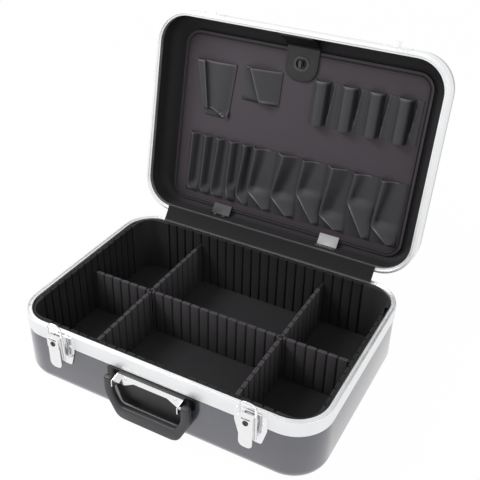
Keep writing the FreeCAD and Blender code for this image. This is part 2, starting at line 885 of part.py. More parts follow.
def make_hinges():
    pins = []
    base_rivets = []
    lid_rivets = []
    for side, sign in (("left", -1), ("right", 1)):
        pin, below, above = make_hinge(side, sign * hinge_spacing / 2)
        pins.append(pin)
        base_rivets.extend(below)
        lid_rivets.extend(above)
    finish_piece(gathered("hinge_pin_group", *pins), "hinge_pins")
    finish_piece(gathered("base_rivet_group", *base_rivets), "base_hinge_rivets")
    group = gathered("lid_rivet_group", *lid_rivets)
    open_with_lid(group)
    finish_piece(group, "lid_hinge_rivets")


def make_flap():
    """A flexible strip that bridges the two inner rims at the hinges."""
    angle = s.lid_open_angle
    start_y = mouth_half_depth - s.flap_inset
    start_z = rim - s.soft_gap
    across = mouth_half_depth - s.flap_end_inset - hinge_y
    along = lid_face - hinge_z
    end_y = hinge_y + across * cosine(angle) + along * sine(angle)
    end_z = hinge_z + along * cosine(angle) - across * sine(angle)
    rise = end_z - start_z
    run = end_y - start_y
    span = Size(math.hypot(rise.value, run.value), f"sqrt({rise.formula}^2 + {run.formula}^2)")
    half = s.flap_thickness / 2
    off_y = half * (rise / span)
    off_z = half * (run / span)
    body = new_body("hinge_flap")
    sketch = start_sketch(body, "YZ_Plane", -flap_left)
    draw_polygon(sketch, [
        (start_y - off_y, start_z + off_z),
        (start_y + off_y, start_z - off_z),
        (end_y + off_y, end_z - off_z),
        (end_y - off_y, end_z + off_z),
    ])
    grow(body, sketch, flap_left + flap_right)


# Latches: faces measured outwards from the front of the rims
plate_front = front - s.latch_plate_thickness
lever_y = front - s.lever_pivot_reach
lever_z = rim - s.lever_pivot_drop
bail_z = rim - s.bail_pivot_drop
lock_z = rim - s.lock_drop
lever_face = front - s.lever_front_reach
plug_face = lever_face - s.lock_plug_proud
cam_front = plug_face + s.lock_plug_depth
cam_back = cam_front + s.lock_cam_thickness


def make_latch_plate(side, place):
    """A plate riveted to the frame, with two ears that carry the lever."""
    body = new_body(f"{side}_latch_plate")
    top = rim - s.latch_plate_top_drop
    shoulder = rim - s.latch_plate_shoulder_drop
    bottom = rim - s.latch_plate_bottom_drop
    wide = s.latch_plate_width / 2
    foot = s.latch_plate_foot_width / 2
    sketch = start_sketch(body, "XZ_Plane", -front, place, 0)
    draw_polygon(sketch, [
        (-wide, top), (-wide, shoulder), (-foot, bottom),
        (foot, bottom), (wide, shoulder), (wide, top),
    ])
    grow(body, sketch, s.latch_plate_thickness)

    def upright(edge):
        bounds = edge.BoundBox
        return bounds.XLength < SAME_PLACE and bounds.ZLength < SAME_PLACE
    round_edges(body, s.latch_plate_corner_radius, upright)
    outer = s.latch_ear_gap / 2 + s.latch_ear_thickness
    ear_bottom = rim - s.latch_ear_drop
    nose = front - s.latch_nose_reach
    slot_half = s.lock_cam_width / 2 + s.side_gap
    nose_top = lock_z + slot_half
    radius = s.latch_ear_radius
    for start in (-outer, s.latch_ear_gap / 2):
        ear = start_sketch(body, "YZ_Plane", place + start)
        draw_polygon(ear, [
            (plate_front, ear_bottom), (plate_front, lever_z), (lever_y, lever_z + radius),
            (lever_y - radius, lever_z + radius / 2), (lever_y - radius, nose_top),
            (nose, nose_top - s.side_gap), (nose, ear_bottom),
        ])
        grow(body, ear, s.latch_ear_thickness)
    bore = start_sketch(body, "YZ_Plane", place - outer, lever_y, lever_z)
    draw_circle(bore, s.latch_pin_radius)
    hollow(body, bore, 2 * outer)
    slot = start_sketch(body, "YZ_Plane", place + s.latch_ear_gap / 2)
    slot_back = cam_back + s.side_gap
    slot_front = cam_front - s.side_gap
    draw_polygon(slot, [
        (slot_front, lock_z - s.lock_cam_swing), (slot_back, lock_z - s.lock_cam_swing),
        (slot_back, nose_top - s.side_gap), (slot_front, nose_top - s.side_gap),
    ])
    hollow(body, slot, s.latch_ear_thickness)
    rivet_z = rim - s.latch_rivet_drop
    for sign in (-1, 1):
        x = place + sign * s.latch_rivet_offset
        drill(body, x, rivet_z, s.rivet_shank_radius, front, plate_front)


def make_lever(side, place):
    """A channel-shaped lever with a finger tongue at its lower end."""
    body = new_body(f"{side}_latch_lever")
    wall = s.lever_wall
    half = s.lever_width / 2
    top = rim + s.lever_top_rise
    bottom = rim - s.lever_cheek_drop
    step = rim - s.lever_step_drop
    back = front - s.lever_back_reach
    lower_face = lever_face + s.lever_step
    slope = s.lever_step
    cheek = start_sketch(body, "YZ_Plane", place - half)
    draw_polygon(cheek, [
        (lever_face, top), (lever_face, step + slope), (lower_face, step),
        (lower_face, bottom), (back, bottom), (back, lever_z + slope),
        (lever_y + slope, top),
    ])
    grow(body, cheek, s.lever_width)
    inner = half - wall
    open_back = back + s.cut_overrun
    inside = start_sketch(body, "YZ_Plane", place - inner)
    draw_polygon(inside, [
        (lever_face + wall, top - wall), (lever_face + wall, step + slope),
        (lower_face + wall, step), (lower_face + wall, bottom - s.cut_overrun),
        (open_back, bottom - s.cut_overrun), (open_back, top + s.cut_overrun),
        (lever_y - slope, top + s.cut_overrun), (lever_y - slope, top - wall),
    ])
    hollow(body, inside, 2 * inner)
    tongue_end = rim - s.lever_tongue_drop
    tongue_half = s.lever_tongue_width / 2
    tongue = start_sketch(body, "XZ_Plane", -(lower_face + wall), place, 0)
    draw_polygon(tongue, [
        (-tongue_half, tongue_end), (tongue_half, tongue_end),
        (tongue_half, bottom + wall), (-tongue_half, bottom + wall),
    ])
    grow(body, tongue, wall)

    def finger_corner(edge):
        bounds = edge.BoundBox
        thin = bounds.XLength + bounds.ZLength < SAME_PLACE
        return thin and abs(bounds.ZMin - tongue_end.value) < SAME_PLACE
    round_edges(body, s.lever_tongue_radius, finger_corner)
    for height, radius in ((lever_z, s.latch_pin_radius), (bail_z, s.bail_wire_radius)):
        bore = start_sketch(body, "YZ_Plane", place - half, lever_y, height)
        draw_circle(bore, radius + s.running_gap)
        hollow(body, bore, s.lever_width)
    drill(body, place, lock_z, s.lock_plug_radius + s.running_gap, lever_face + wall, lever_face)
    slot_z = rim - s.lever_slot_drop
    slot = start_sketch(body, "XZ_Plane", -(lever_face + wall), place, slot_z)
    draw_rounded(slot, s.lever_slot_width, s.lever_slot_height, s.lever_slot_height / 3)
    hollow(body, slot, wall)


def make_lock(side, place):
    """A key plug and the cam that it turns behind the plate's ear."""
    plug = rod("plug", (place, plug_face, lock_z), "y", s.lock_plug_radius, s.lock_plug_depth)
    half = s.key_slot_length / 2
    thin = s.key_slot_width / 2
    slot = block("key_slot", (place - thin, plug_face - s.cut_overrun, lock_z - half),
                 (place + thin, plug_face + s.key_slot_depth, lock_z + half))
    finish_piece(cut_from("plug_cut", plug, slot), f"{side}_lock_plug")
    wide = s.lock_cam_width / 2
    cam = fused("cam",
                rod("cam_hub", (place, cam_front, lock_z), "y", wide, s.lock_cam_thickness),
                block("cam_tip", (place - wide, cam_front, lock_z - s.lock_cam_reach),
                      (place + wide, cam_back, lock_z)))
    finish_piece(cam, f"{side}_lock_cam")


def make_bail(side, place):
    """A bent wire: two legs with inturned feet in the lever, and a top bar."""
    body = new_body(f"{side}_bail")
    leg = s.bail_width / 2 - s.bail_wire_radius
    foot = s.lever_width / 2 - s.lever_wall - s.side_gap
    bend = s.bail_foot_radius
    corner = s.bail_corner_radius
    top = s.bail_length
    lines = [
        ((-foot, 0), (bend - leg, 0)),
        ((-leg, bend), (-leg, top - corner)),
        ((corner - leg, top), (leg - corner, top)),
        ((leg, top - corner), (leg, bend)),
        ((leg - bend, 0), (foot, 0)),
    ]
    arcs = [
        (bend - leg, bend, bend, 180, 270, 2, 1),
        (corner - leg, top - corner, corner, 90, 180, 2, 1),
        (leg - corner, top - corner, corner, 0, 90, 2, 1),
        (leg - bend, bend, bend, 270, 360, 2, 1),
    ]
    path = start_sketch(body, "XZ_Plane", 0)
    for start, end in lines:
        ends = [Vector(as_size(a).value, as_size(b).value, 0) for a, b in (start, end)]
        line = path.addGeometry(Part.LineSegment(*ends), False)
        for spot, (across, along) in ((1, start), (2, end)):
            constrain(path, across, "DistanceX", -1, 1, line, spot)
            constrain(path, along, "DistanceY", -1, 1, line, spot)
    normal = Vector(0, 0, 1)
    for index, (across, along, radius, first, last, entry, leave) in enumerate(arcs):
        circle = Part.Circle(Vector(across.value, along.value, 0), normal, radius.value)
        arc_shape = Part.ArcOfCircle(circle, math.radians(first), math.radians(last))
        arc = path.addGeometry(arc_shape, False)
        path.addConstraint(Sketcher.Constraint("Coincident", arc, entry, index, 2))
        path.addConstraint(Sketcher.Constraint("Coincident", arc, leave, index + 1, 1))
        constrain(path, radius, "Radius", arc)
    section = start_sketch(body, "YZ_Plane", -foot)
    draw_circle(section, s.bail_wire_radius)
    pipe = body.newObject("PartDesign::AdditivePipe", "bail_pipe")
    pipe.Profile = section
    pipe.Spine = (path, [""])
    body.Placement = Placement(Vector(), Rotation(Vector(1, 0, 0), s.bail_lean.value))
    bind(body, "Placement.Rotation.Angle", s.bail_lean)
    bind(body, "Placement.Base.x", place)
    bind(body, "Placement.Base.y", lever_y)
    bind(body, "Placement.Base.z", bail_z)


def make_keeper(side, place):
    """A plate on the lid's frame with an upturned hook that the bail pulls down."""
    body = new_body(f"{side}_keeper")
    low = lid_face + s.keeper_plate_rise
    high = low + s.keeper_plate_height
    face = front - s.keeper_plate_thickness
    wide = s.keeper_plate_width / 2
    plate = start_sketch(body, "XZ_Plane", -front, place, 0)
    draw_polygon(plate, [(-wide, low), (wide, low), (wide, high), (-wide, high)])
    grow(body, plate, s.keeper_plate_thickness)
    hooked = s.bail_hooked_turn - s.bail_lean
    wire_z = bail_z + s.bail_length * cosine(hooked)
    shelf = wire_z - s.bail_wire_radius - s.keeper_wire_gap
    tip = front - s.keeper_hook_reach
    hook = start_sketch(body, "YZ_Plane", place - s.keeper_hook_width / 2)
    under = shelf - s.keeper_hook_thickness
    draw_polygon(hook, [
        (face, under - s.keeper_hook_thickness), (face, shelf),
        (tip + s.keeper_hook_tip, shelf), (tip + s.keeper_hook_tip, shelf + s.keeper_hook_tip_rise),
        (tip, shelf + s.keeper_hook_tip_rise), (tip, under),
    ])
    grow(body, hook, s.keeper_hook_width)
    rivet_z = low + s.keeper_plate_height / 2
    for sign in (-1, 1):
        x = place + sign * s.keeper_rivet_offset
        drill(body, x, rivet_z, s.rivet_shank_radius, front, face)
    open_with_lid(body)
    thickness = s.keeper_plate_thickness
    return [rivet("rivet", place + sign * s.keeper_rivet_offset, rivet_z, front, thickness, -1)
            for sign in (-1, 1)]


def make_latches():
    plate_rivets = []
    pins = []
    keeper_rivets = []
    ear_inner = s.latch_ear_gap / 2
    pin_length = s.lever_width / 2 - ear_inner
    for side, sign in (("left", -1), ("right", 1)):
        place = sign * latch_spacing / 2
        make_latch_plate(side, place)
        make_lever(side, place)
        make_lock(side, place)
        make_bail(side, place)
        keeper_rivets.extend(make_keeper(side, place))
        rivet_z = rim - s.latch_rivet_drop
        for end in (-1, 1):
            x = place + end * s.latch_rivet_offset
            plate_rivets.append(rivet("rivet", x, rivet_z, front, s.latch_plate_thickness, -1))
        for start in (place - ear_inner - pin_length, place + ear_inner):
            pins.append(rod("pin", (start, lever_y, lever_z), "x", s.latch_pin_radius, pin_length))
    finish_piece(gathered("plate_rivet_group", *plate_rivets), "latch_plate_rivets")
    finish_piece(gathered("latch_pin_group", *pins), "latch_pivot_pins")
    group = gathered("keeper_rivet_group", *keeper_rivets)
    open_with_lid(group)
    finish_piece(group, "keeper_rivets")


# Handle: its mount lies on the moulded shell, below the frame
mount_back = -shell_half_depth
mount_face = mount_back - s.handle_plate_thickness
handle_y = front - s.handle_pivot_reach
handle_z = rim - s.handle_pivot_drop


def make_handle_mount():
    body = new_body("handle_mount_plate")
    sketch = start_sketch(body, "XZ_Plane", -mount_back)
    plate_top = rim - s.handle_plate_drop
    wide = s.handle_plate_width / 2
    waist = s.handle_plate_waist_width / 2
    foot = s.handle_plate_foot_width / 2
    right = [
        (wide, plate_top), (wide, plate_top - s.handle_plate_shoulder),
        (waist, plate_top - s.handle_plate_waist), (foot, plate_top - s.handle_plate_height),
    ]
    left = [(-x, z) for x, z in reversed(right)]
    draw_polygon(sketch, right + left)
    grow(body, sketch, s.handle_plate_thickness)

    def upright(edge):
        bounds = edge.BoundBox
        return bounds.XLength < SAME_PLACE and bounds.ZLength < SAME_PLACE
    round_edges(body, s.handle_plate_radius, upright)

    bar_top = rim - s.handle_bracket_drop
    bar_low = bar_top - s.handle_bracket_height
    half = s.handle_bracket_width / 2
    thickness = s.handle_bracket_thickness
    bar_face = mount_face - thickness
    ear_end = mount_face - s.handle_ear_reach
    ear_low = bar_top - s.handle_ear_height
    pin = s.handle_pin_radius
    flare = half - s.handle_flare_width
    neck = flare - s.handle_flare_slope
    bracket = new_body("handle_bracket")
    bar = start_sketch(bracket, "XZ_Plane", -mount_face)
    draw_polygon(bar, [
        (-half, ear_low), (-flare, ear_low), (-neck, bar_low), (neck, bar_low),
        (flare, ear_low), (half, ear_low), (half, bar_top), (-half, bar_top),
    ])
    grow(bracket, bar, thickness)
    for start in (-half, half - thickness):
        ear = start_sketch(bracket, "YZ_Plane", start)
        draw_polygon(ear, [
            (mount_face, ear_low), (mount_face, bar_top),
            (ear_end, handle_z + s.handle_ear_tip), (ear_end, handle_z - s.handle_ear_tip),
        ])
        grow(bracket, ear, thickness)
    bore = start_sketch(bracket, "YZ_Plane", -half, handle_y, handle_z)
    draw_circle(bore, pin)
    hollow(bracket, bore, 2 * half)
    rivet_z = bar_top - s.handle_bracket_height / 2
    places = [-s.handle_rivet_offset, s.handle_rivet_offset]
    for x in places:
        drill(bracket, x, rivet_z, s.rivet_shank_radius, mount_face, bar_face)
    rivets = [rivet("rivet", x, rivet_z, mount_face, thickness, -1) for x in places]
    finish_piece(gathered("bracket_rivet_group", *rivets), "handle_bracket_rivets")

    arm_inner = s.handle_width / 2 - s.handle_arm_width
    pin_end = arm_inner + s.handle_pin_depth
    length = pin_end - half + thickness
    pins = [rod("pin", (start, handle_y, handle_z), "x", pin, length)
            for start in (-pin_end, half - thickness)]
    finish_piece(gathered("handle_pin_group", *pins), "handle_pivot_pins")


def make_handle():
    """A stirrup grip: two arms and a deep lower bar."""
    body = new_body("carry_handle")
    half = s.handle_width / 2
    inner = half - s.handle_arm_width
    back = handle_y + s.handle_thickness / 2
    top = handle_z + s.handle_thickness / 2 + s.side_gap
    bottom = rim - s.handle_bottom_drop
    outline = start_sketch(body, "XZ_Plane", -back)
    foot = s.handle_foot_width / 2
    shoulder = rim - s.handle_shoulder_drop
    draw_polygon(outline, [
        (-foot, bottom), (foot, bottom), (half, shoulder),
        (half, top), (-half, top), (-half, shoulder),
    ])
    grow(body, outline, s.handle_thickness)
    grip_top = bottom + s.handle_grip_height
    opening_foot = s.handle_opening_foot_width / 2
    opening_shoulder = rim - s.handle_opening_drop
    opening = start_sketch(body, "XZ_Plane", -back)
    draw_polygon(opening, [
        (-opening_foot, grip_top), (opening_foot, grip_top), (inner, opening_shoulder),
        (inner, top + s.cut_overrun), (-inner, top + s.cut_overrun),
        (-inner, opening_shoulder),
    ])
    hollow(body, opening, s.handle_thickness, onward=True)

    def across_at(level):
        def wanted(edge):
            bounds = edge.BoundBox
            thin = bounds.XLength + bounds.ZLength < SAME_PLACE
            return thin and abs(bounds.ZMax - level.value) < SAME_PLACE
        return wanted
    radius = s.handle_corner_radius
    for level, size in ((bottom, radius), (shoulder, 2 * radius),
                        (grip_top, radius / 2), (opening_shoulder, radius)):
        round_edges(body, size, across_at(level))

    def rim_of_grip(edge):
        bounds = edge.BoundBox
        return bounds.YLength < SAME_PLACE and bounds.ZMin < top.value - SAME_PLACE
    round_edges(body, s.handle_edge_radius, rim_of_grip)
    socket_depth = s.handle_pin_depth + s.side_gap
    for start in (-inner - socket_depth, inner):
        socket = start_sketch(body, "YZ_Plane", start, handle_y, handle_z)
        draw_circle(socket, s.handle_pin_radius + s.running_gap)
        hollow(body, socket, socket_depth)


def make_lining():
    """A cloth tub glued inside the lid's shell."""
    body = new_body("lid_lining")
    gap = s.soft_gap
    wall = s.lining_thickness
    low = lid_face + s.lining_rim_rise
    back = lid_top - s.shell_wall - gap
    edge = s.lid_edge_radius - s.shell_wall - gap
    outline = start_sketch(body, "XY_Plane", low)
    width = 2 * (cavity_half_width - gap)
    depth = 2 * (cavity_half_depth - gap)
    draw_rounded(outline, width, depth, cavity_radius - gap)
    grow(body, outline, back - low)
    cavity = start_sketch(body, "XY_Plane", low)
    draw_rounded(cavity, width - 2 * wall, depth - 2 * wall, cavity_radius - gap - wall)
    hollow(body, cavity, back - low - wall)
    round_edges(body, edge - wall, flat_at(back - wall))
    round_edges(body, edge, flat_at(back))
    open_with_lid(body)


panel_depth = panel_front + panel_rear
panel_middle = (panel_rear - panel_front) / 2


def make_panel():
    """A stiff board behind a cloth face, with a piped edge, packed off the lining."""
    board_face = panel_face + s.panel_facing_thickness
    layers = (
        ("panel_facing", panel_face, s.panel_facing_thickness),
        ("panel_board", board_face, s.panel_board_thickness),
    )
    for label, level, thickness in layers:
        body = new_body(label)
        sketch = start_sketch(body, "XY_Plane", level, 0, panel_middle)
        draw_rounded(sketch, panel_width, panel_depth, s.panel_corner_radius)
        grow(body, sketch, thickness)
        if label == "panel_board":
            back = board_face + thickness
            lining_face = lid_top - s.shell_wall - s.soft_gap - s.lining_thickness
            half = s.panel_packing_width / 2
            packing = start_sketch(body, "XY_Plane", back, 0, 0)
            draw_polygon(packing, [(-half, -half), (half, -half), (half, half), (-half, half)])
            grow(body, packing, lining_face - back)
        open_with_lid(body)
    piping = new_body("panel_piping")
    outer = 2 * s.panel_piping_inset
    inner = outer + 2 * s.panel_piping_width
    sketch = start_sketch(piping, "XY_Plane", panel_face, 0, panel_middle)
    draw_rounded(sketch, panel_width - outer, panel_depth - outer,
                 s.panel_corner_radius - outer / 2)
    draw_rounded(sketch, panel_width - inner, panel_depth - inner,
                 s.panel_corner_radius - inner / 2)
    grow(piping, sketch, s.panel_piping_height, onward=False)
    open_with_lid(piping)


def make_clips():
    """Bent clips on the lid's rear wall that hold the panel's lower edge."""
    wall = cavity_half_depth - s.soft_gap - s.lining_thickness
    foot = rim + s.clip_foot_rise
    bend = rim + s.clip_bend_rise
    tip = panel_face - s.clip_tip_gap
    thickness = s.clip_thickness
    rivets = []
    half = s.clip_width / 2
    rivet_z = (foot + bend) / 2
    for side, place in (("left", -clip_left), ("right", clip_right)):
        body = new_body(f"{side}_panel_clip")
        sketch = start_sketch(body, "YZ_Plane", place - half)
        draw_polygon(sketch, [
            (wall, foot), (wall, bend + thickness / 2), (clip_reach + thickness / 2, tip),
            (clip_reach, tip - thickness), (wall - thickness, bend - thickness / 2),
            (wall - thickness, foot),
        ])
        grow(body, sketch, s.clip_width)
        for sign in (-1, 1):
            x = place + sign * half / 2
            drill(body, x, rivet_z, s.rivet_shank_radius, wall, wall - thickness)
            rivets.append(rivet("rivet", x, rivet_z, wall, thickness, -1))
        open_with_lid(body)
    group = gathered("clip_rivet_group", *rivets)
    open_with_lid(group)
    finish_piece(group, "panel_clip_rivets")


strap_back = panel_face - s.turn_lock_plate - s.soft_gap
strap_face = strap_back - s.strap_thickness


def make_strap():
    """Webbing in two lengths: one sewn up from the rim, one that folds off the panel."""
    thickness = s.strap_thickness
    gap = s.soft_gap
    half = s.strap_width / 2
    lip = -mouth_half_depth
    foot_low = lid_face + gap
    foot_high = foot_low + s.strap_foot_height
    bend = -strap_bend
    fold = bend - thickness / 2 - gap
    foot = new_body("strap_foot")
    sketch = start_sketch(foot, "YZ_Plane", -half)
    draw_polygon(sketch, [
        (lip, foot_low), (lip + thickness, foot_low), (lip + thickness, foot_high),
        (fold, strap_face), (fold, strap_back),
        (bend - 2 * thickness, strap_back), (lip, foot_high),
    ])
    grow(foot, sketch, s.strap_width)
    rivet_z = (foot_low + foot_high) / 2
    rivets = []
    for sign in (-1, 1):
        x = sign * s.strap_rivet_offset
        drill(foot, x, rivet_z, s.rivet_shank_radius, lip + thickness, lip)
        rivets.append(rivet("rivet", x, rivet_z, lip, thickness, 1))
    open_with_lid(foot)
    group = gathered("strap_rivet_group", *rivets)
    open_with_lid(group)
    finish_piece(group, "strap_rivets")

    end = -strap_tongue
    strap = new_body("panel_strap")
    sketch = start_sketch(strap, "XY_Plane", strap_face)
    draw_polygon(sketch, [(-half, bend), (half, bend), (half, end), (-half, end)])
    grow(strap, sketch, thickness)

    def tongue_corner(edge):
        bounds = edge.BoundBox
        upright = bounds.ZLength > thickness.value - SAME_PLACE
        return upright and abs(bounds.YMax - end.value) < SAME_PLACE
    round_edges(strap, s.strap_end_radius, tongue_corner)
    bead = start_sketch(strap, "YZ_Plane", -half, bend, strap_face + thickness / 2)
    draw_circle(bead, thickness / 2)
    grow(strap, bead, s.strap_width)
    hole = start_sketch(strap, "XY_Plane", strap_back, 0, -turn_lock_place)
    collar = 2 * s.eyelet_collar
    hole_width = s.eyelet_hole_width + collar
    hole_height = s.eyelet_hole_height + collar
    draw_rounded(hole, hole_width, hole_height, hole_height / 2 - collar / 8)
    hollow(strap, hole, thickness, onward=False)
    open_with_lid(strap)

    eyelet = new_body("strap_eyelet")
    flange = start_sketch(eyelet, "XY_Plane", strap_face, 0, -turn_lock_place)
    draw_rounded(flange, s.eyelet_width, s.eyelet_height, s.eyelet_height / 2 - collar / 8)
    grow(eyelet, flange, s.eyelet_flange, onward=False)
    tube = start_sketch(eyelet, "XY_Plane", strap_face, 0, -turn_lock_place)
    draw_rounded(tube, hole_width, hole_height, hole_height / 2 - collar / 8)
    grow(eyelet, tube, thickness)
    bore = start_sketch(eyelet, "XY_Plane", strap_back, 0, -turn_lock_place)
    hole_radius = s.eyelet_hole_height / 2 - collar / 8
    draw_rounded(bore, s.eyelet_hole_width, s.eyelet_hole_height, hole_radius)
    hollow(eyelet, bore, thickness + s.eyelet_flange, onward=False)
    open_with_lid(eyelet)


def make_turn_lock():
    """A turn button on the panel: a plate with a boss, and the knob that turns on it."""
    body = new_body("turn_lock_base")
    place = -turn_lock_place
    plate = start_sketch(body, "XY_Plane", panel_face, 0, place)
    draw_rounded(plate, s.turn_lock_width, s.turn_lock_height, s.turn_lock_height / 4)
    grow(body, plate, s.turn_lock_plate, onward=False)
    boss_base = panel_face - s.turn_lock_plate
    boss = start_sketch(body, "XY_Plane", boss_base, 0, place)
    draw_circle(boss, s.turn_lock_boss_radius)
    grow(body, boss, s.turn_lock_boss_height, onward=False)
    seat = boss_base - s.turn_lock_boss_height
    bore = start_sketch(body, "XY_Plane", seat, 0, place)
    draw_circle(bore, s.knob_stub_radius + s.running_gap)
    hollow(body, bore, s.knob_stub_length + s.side_gap)
    open_with_lid(body)

    knob = new_body("turn_knob")
    bar = start_sketch(knob, "XY_Plane", seat - s.running_gap, 0, place)
    draw_rounded(bar, s.knob_width, s.knob_length, s.knob_width / 2 - s.running_gap)
    grow(knob, bar, s.knob_height, onward=False)
    stub = start_sketch(knob, "XY_Plane", seat - s.running_gap, 0, place)
    draw_circle(stub, s.knob_stub_radius)
    grow(knob, stub, s.knob_stub_length)
    open_with_lid(knob)


def cloth_base(body, left, right, top, bottom):
    """The flat back layer of a row of pockets, sewn to the panel's face."""
    sketch = start_sketch(body, "XY_Plane", panel_face)
    draw_polygon(sketch, [(left, top), (right, top), (right, bottom), (left, bottom)])
    grow(body, sketch, s.pocket_base_cloth, onward=False)
    return panel_face - s.pocket_base_cloth


def bulging_row(label, first, pitch, width, rise, top, bottom, count, open_through):
    """A row of bulging pockets or loops side by side on one back layer."""
    body = new_body(label)
    left = first - width / 2
    right = first + pitch * (count - 1) + width / 2
    face = cloth_base(body, left, right, top, bottom)
    length = bottom - top
    sketch = start_sketch(body, "XZ_Plane", -top, first, face)
    draw_bulge(sketch, width, rise)
    bulge = grow(body, sketch, length, onward=False)
    repeat(body, bulge, sketch, "H_Axis", pitch, count)
    if open_through:
        cloth = s.pocket_cloth
        inside = start_sketch(body, "XZ_Plane", -top, first, face)
        draw_bulge(inside, width - 2 * cloth, rise - cloth)
        bore = hollow(body, inside, length, onward=False)
        repeat(body, bore, inside, "H_Axis", pitch, count)
    open_with_lid(body)


def make_large_pocket():
    """A deep pocket that narrows to its foot, open at the top."""
    body = new_body("large_pocket")
    cloth = s.pocket_cloth
    top = -s.large_pocket_top_share * s.case_depth
    foot = -s.large_pocket_foot_share * s.case_depth
    depth = s.large_pocket_depth
    corners = [
        (-s.large_pocket_left, top), (-s.large_pocket_right, top),
        (-s.large_pocket_foot_right, foot), (-s.large_pocket_foot_left, foot),
    ]
    sketch = start_sketch(body, "XY_Plane", panel_face)
    draw_polygon(sketch, corners)
    grow(body, sketch, depth, onward=False)
    inside = start_sketch(body, "XY_Plane", panel_face - s.pocket_base_cloth)
    draw_polygon(inside, [
        (cloth - s.large_pocket_left, top - s.cut_overrun),
        (-s.large_pocket_right - cloth, top - s.cut_overrun),
        (-s.large_pocket_foot_right - cloth, foot - cloth),
        (cloth - s.large_pocket_foot_left, foot - cloth),
    ])
    hollow(body, inside, depth - s.pocket_base_cloth - cloth, onward=False)
    open_with_lid(body)


def make_box_pocket():
    """A gusseted box pocket, open at the top."""
    body = new_body("box_pocket")
    cloth = s.pocket_cloth
    top = -s.box_pocket_top_share * s.case_depth
    bottom = -s.box_pocket_bottom_share * s.case_depth
    left = -s.box_pocket_left
    right = -s.box_pocket_right
    sketch = start_sketch(body, "XY_Plane", panel_face)
    draw_polygon(sketch, [(left, top), (right, top), (right, bottom), (left, bottom)])
    grow(body, sketch, s.box_pocket_depth, onward=False)
    inside = start_sketch(body, "XY_Plane", panel_face - s.pocket_base_cloth)
    draw_polygon(inside, [
        (left + cloth, top - s.cut_overrun), (right - cloth, top - s.cut_overrun),
        (right - cloth, bottom - cloth), (left + cloth, bottom - cloth),
    ])
    hollow(body, inside, s.box_pocket_depth - s.pocket_base_cloth - cloth, onward=False)
    open_with_lid(body)


def make_pockets():
    make_large_pocket()
    make_box_pocket()
    loop_top = -s.tube_loop_top_share * s.case_depth
    loop_bottom = -s.tube_loop_bottom_share * s.case_depth
    bulging_row("tube_loops", s.tube_loop_first, s.tube_loop_pitch, s.tube_loop_width,
                s.tube_loop_rise, loop_top, loop_bottom, TUBE_LOOPS, True)
    pocket_top = s.flat_pocket_top_share * s.case_depth
    pocket_bottom = s.flat_pocket_bottom_share * s.case_depth
    bulging_row("narrow_pockets", -s.narrow_pocket_first, s.narrow_pocket_pitch,
                s.narrow_pocket_width, s.narrow_pocket_rise, pocket_top, pocket_bottom,
                NARROW_POCKETS, False)
    first = -s.wide_pocket_first
    bulging_row("wide_pockets", first, s.wide_pocket_pitch, s.wide_pocket_width,
                s.wide_pocket_rise, pocket_top, pocket_bottom, WIDE_POCKETS, False)


def check_model():
    """Stop if a feature failed, a cut took nothing away, or a piece is not sound."""
    for item in DOCUMENT.Objects:
        if "Invalid" in item.State or "Error" in item.State:
            raise RuntimeError(f"{item.Name} {item.Label} failed: {item.State}")
        if item.TypeId == "PartDesign::Pocket":
            before = item.BaseFeature.Shape.Volume
            if item.Shape.Volume > before - SAME_PLACE:
                raise RuntimeError(f"{item.Name} cuts nothing")
    for piece in PIECES:
        shape = piece.Shape
        if shape.isNull() or not shape.isValid() or not shape.Solids:
            raise RuntimeError(f"{piece.Label} is not a sound solid")


def write_pieces():
    os.makedirs("parts", exist_ok=True)
    for piece in PIECES:
        piece.Shape.exportStep(f"parts/{piece.Label}.step")
        volume = piece.Shape.Volume
        print(f"{piece.Label}: {len(piece.Shape.Solids)} solids, {volume:.0f} mm3")


make_shell("base_shell", rim, as_size(0), s.base_edge_radius, -1)
make_base_frame()
make_liner()
make_floor_pad()
make_dividers()
make_shell("lid_shell", lid_face, lid_top, s.lid_edge_radius, 1)
open_with_lid(PIECES[-1])
make_lid_frame()
make_lining()
make_hinges()
make_flap()
make_latches()
make_handle_mount()
make_handle()
make_panel()
make_clips()
make_strap()
make_turn_lock()
make_pockets()
DOCUMENT.recompute()
check_model()
write_pieces()
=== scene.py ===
"""Looks and studio for the hard tool case: every piece is built in metres in the row frame.

The lid's pieces are drawn with the lid shut and then turned open about the lid hinge.
"""

import json
import math

import bmesh
import bpy
from mathutils import Matrix, Vector


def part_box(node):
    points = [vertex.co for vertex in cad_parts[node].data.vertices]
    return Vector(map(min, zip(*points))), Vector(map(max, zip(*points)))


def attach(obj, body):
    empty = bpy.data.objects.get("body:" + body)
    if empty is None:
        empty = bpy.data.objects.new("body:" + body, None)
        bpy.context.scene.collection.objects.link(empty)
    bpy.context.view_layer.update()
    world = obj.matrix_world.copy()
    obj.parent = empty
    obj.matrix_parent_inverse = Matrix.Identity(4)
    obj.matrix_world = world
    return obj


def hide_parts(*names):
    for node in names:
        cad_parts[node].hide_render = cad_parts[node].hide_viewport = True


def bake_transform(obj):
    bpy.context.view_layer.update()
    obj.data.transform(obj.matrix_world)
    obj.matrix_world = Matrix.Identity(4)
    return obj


bl_info = {
    "name": "Hard tool case",
    "version": (1, 0, 0),
    "blender": (4, 5, 0),
    "location": "3D View > Sidebar > Tool case",
    "description": "Dresses the packed tool case and sets a plain studio round it",
    "category": "Object",
}

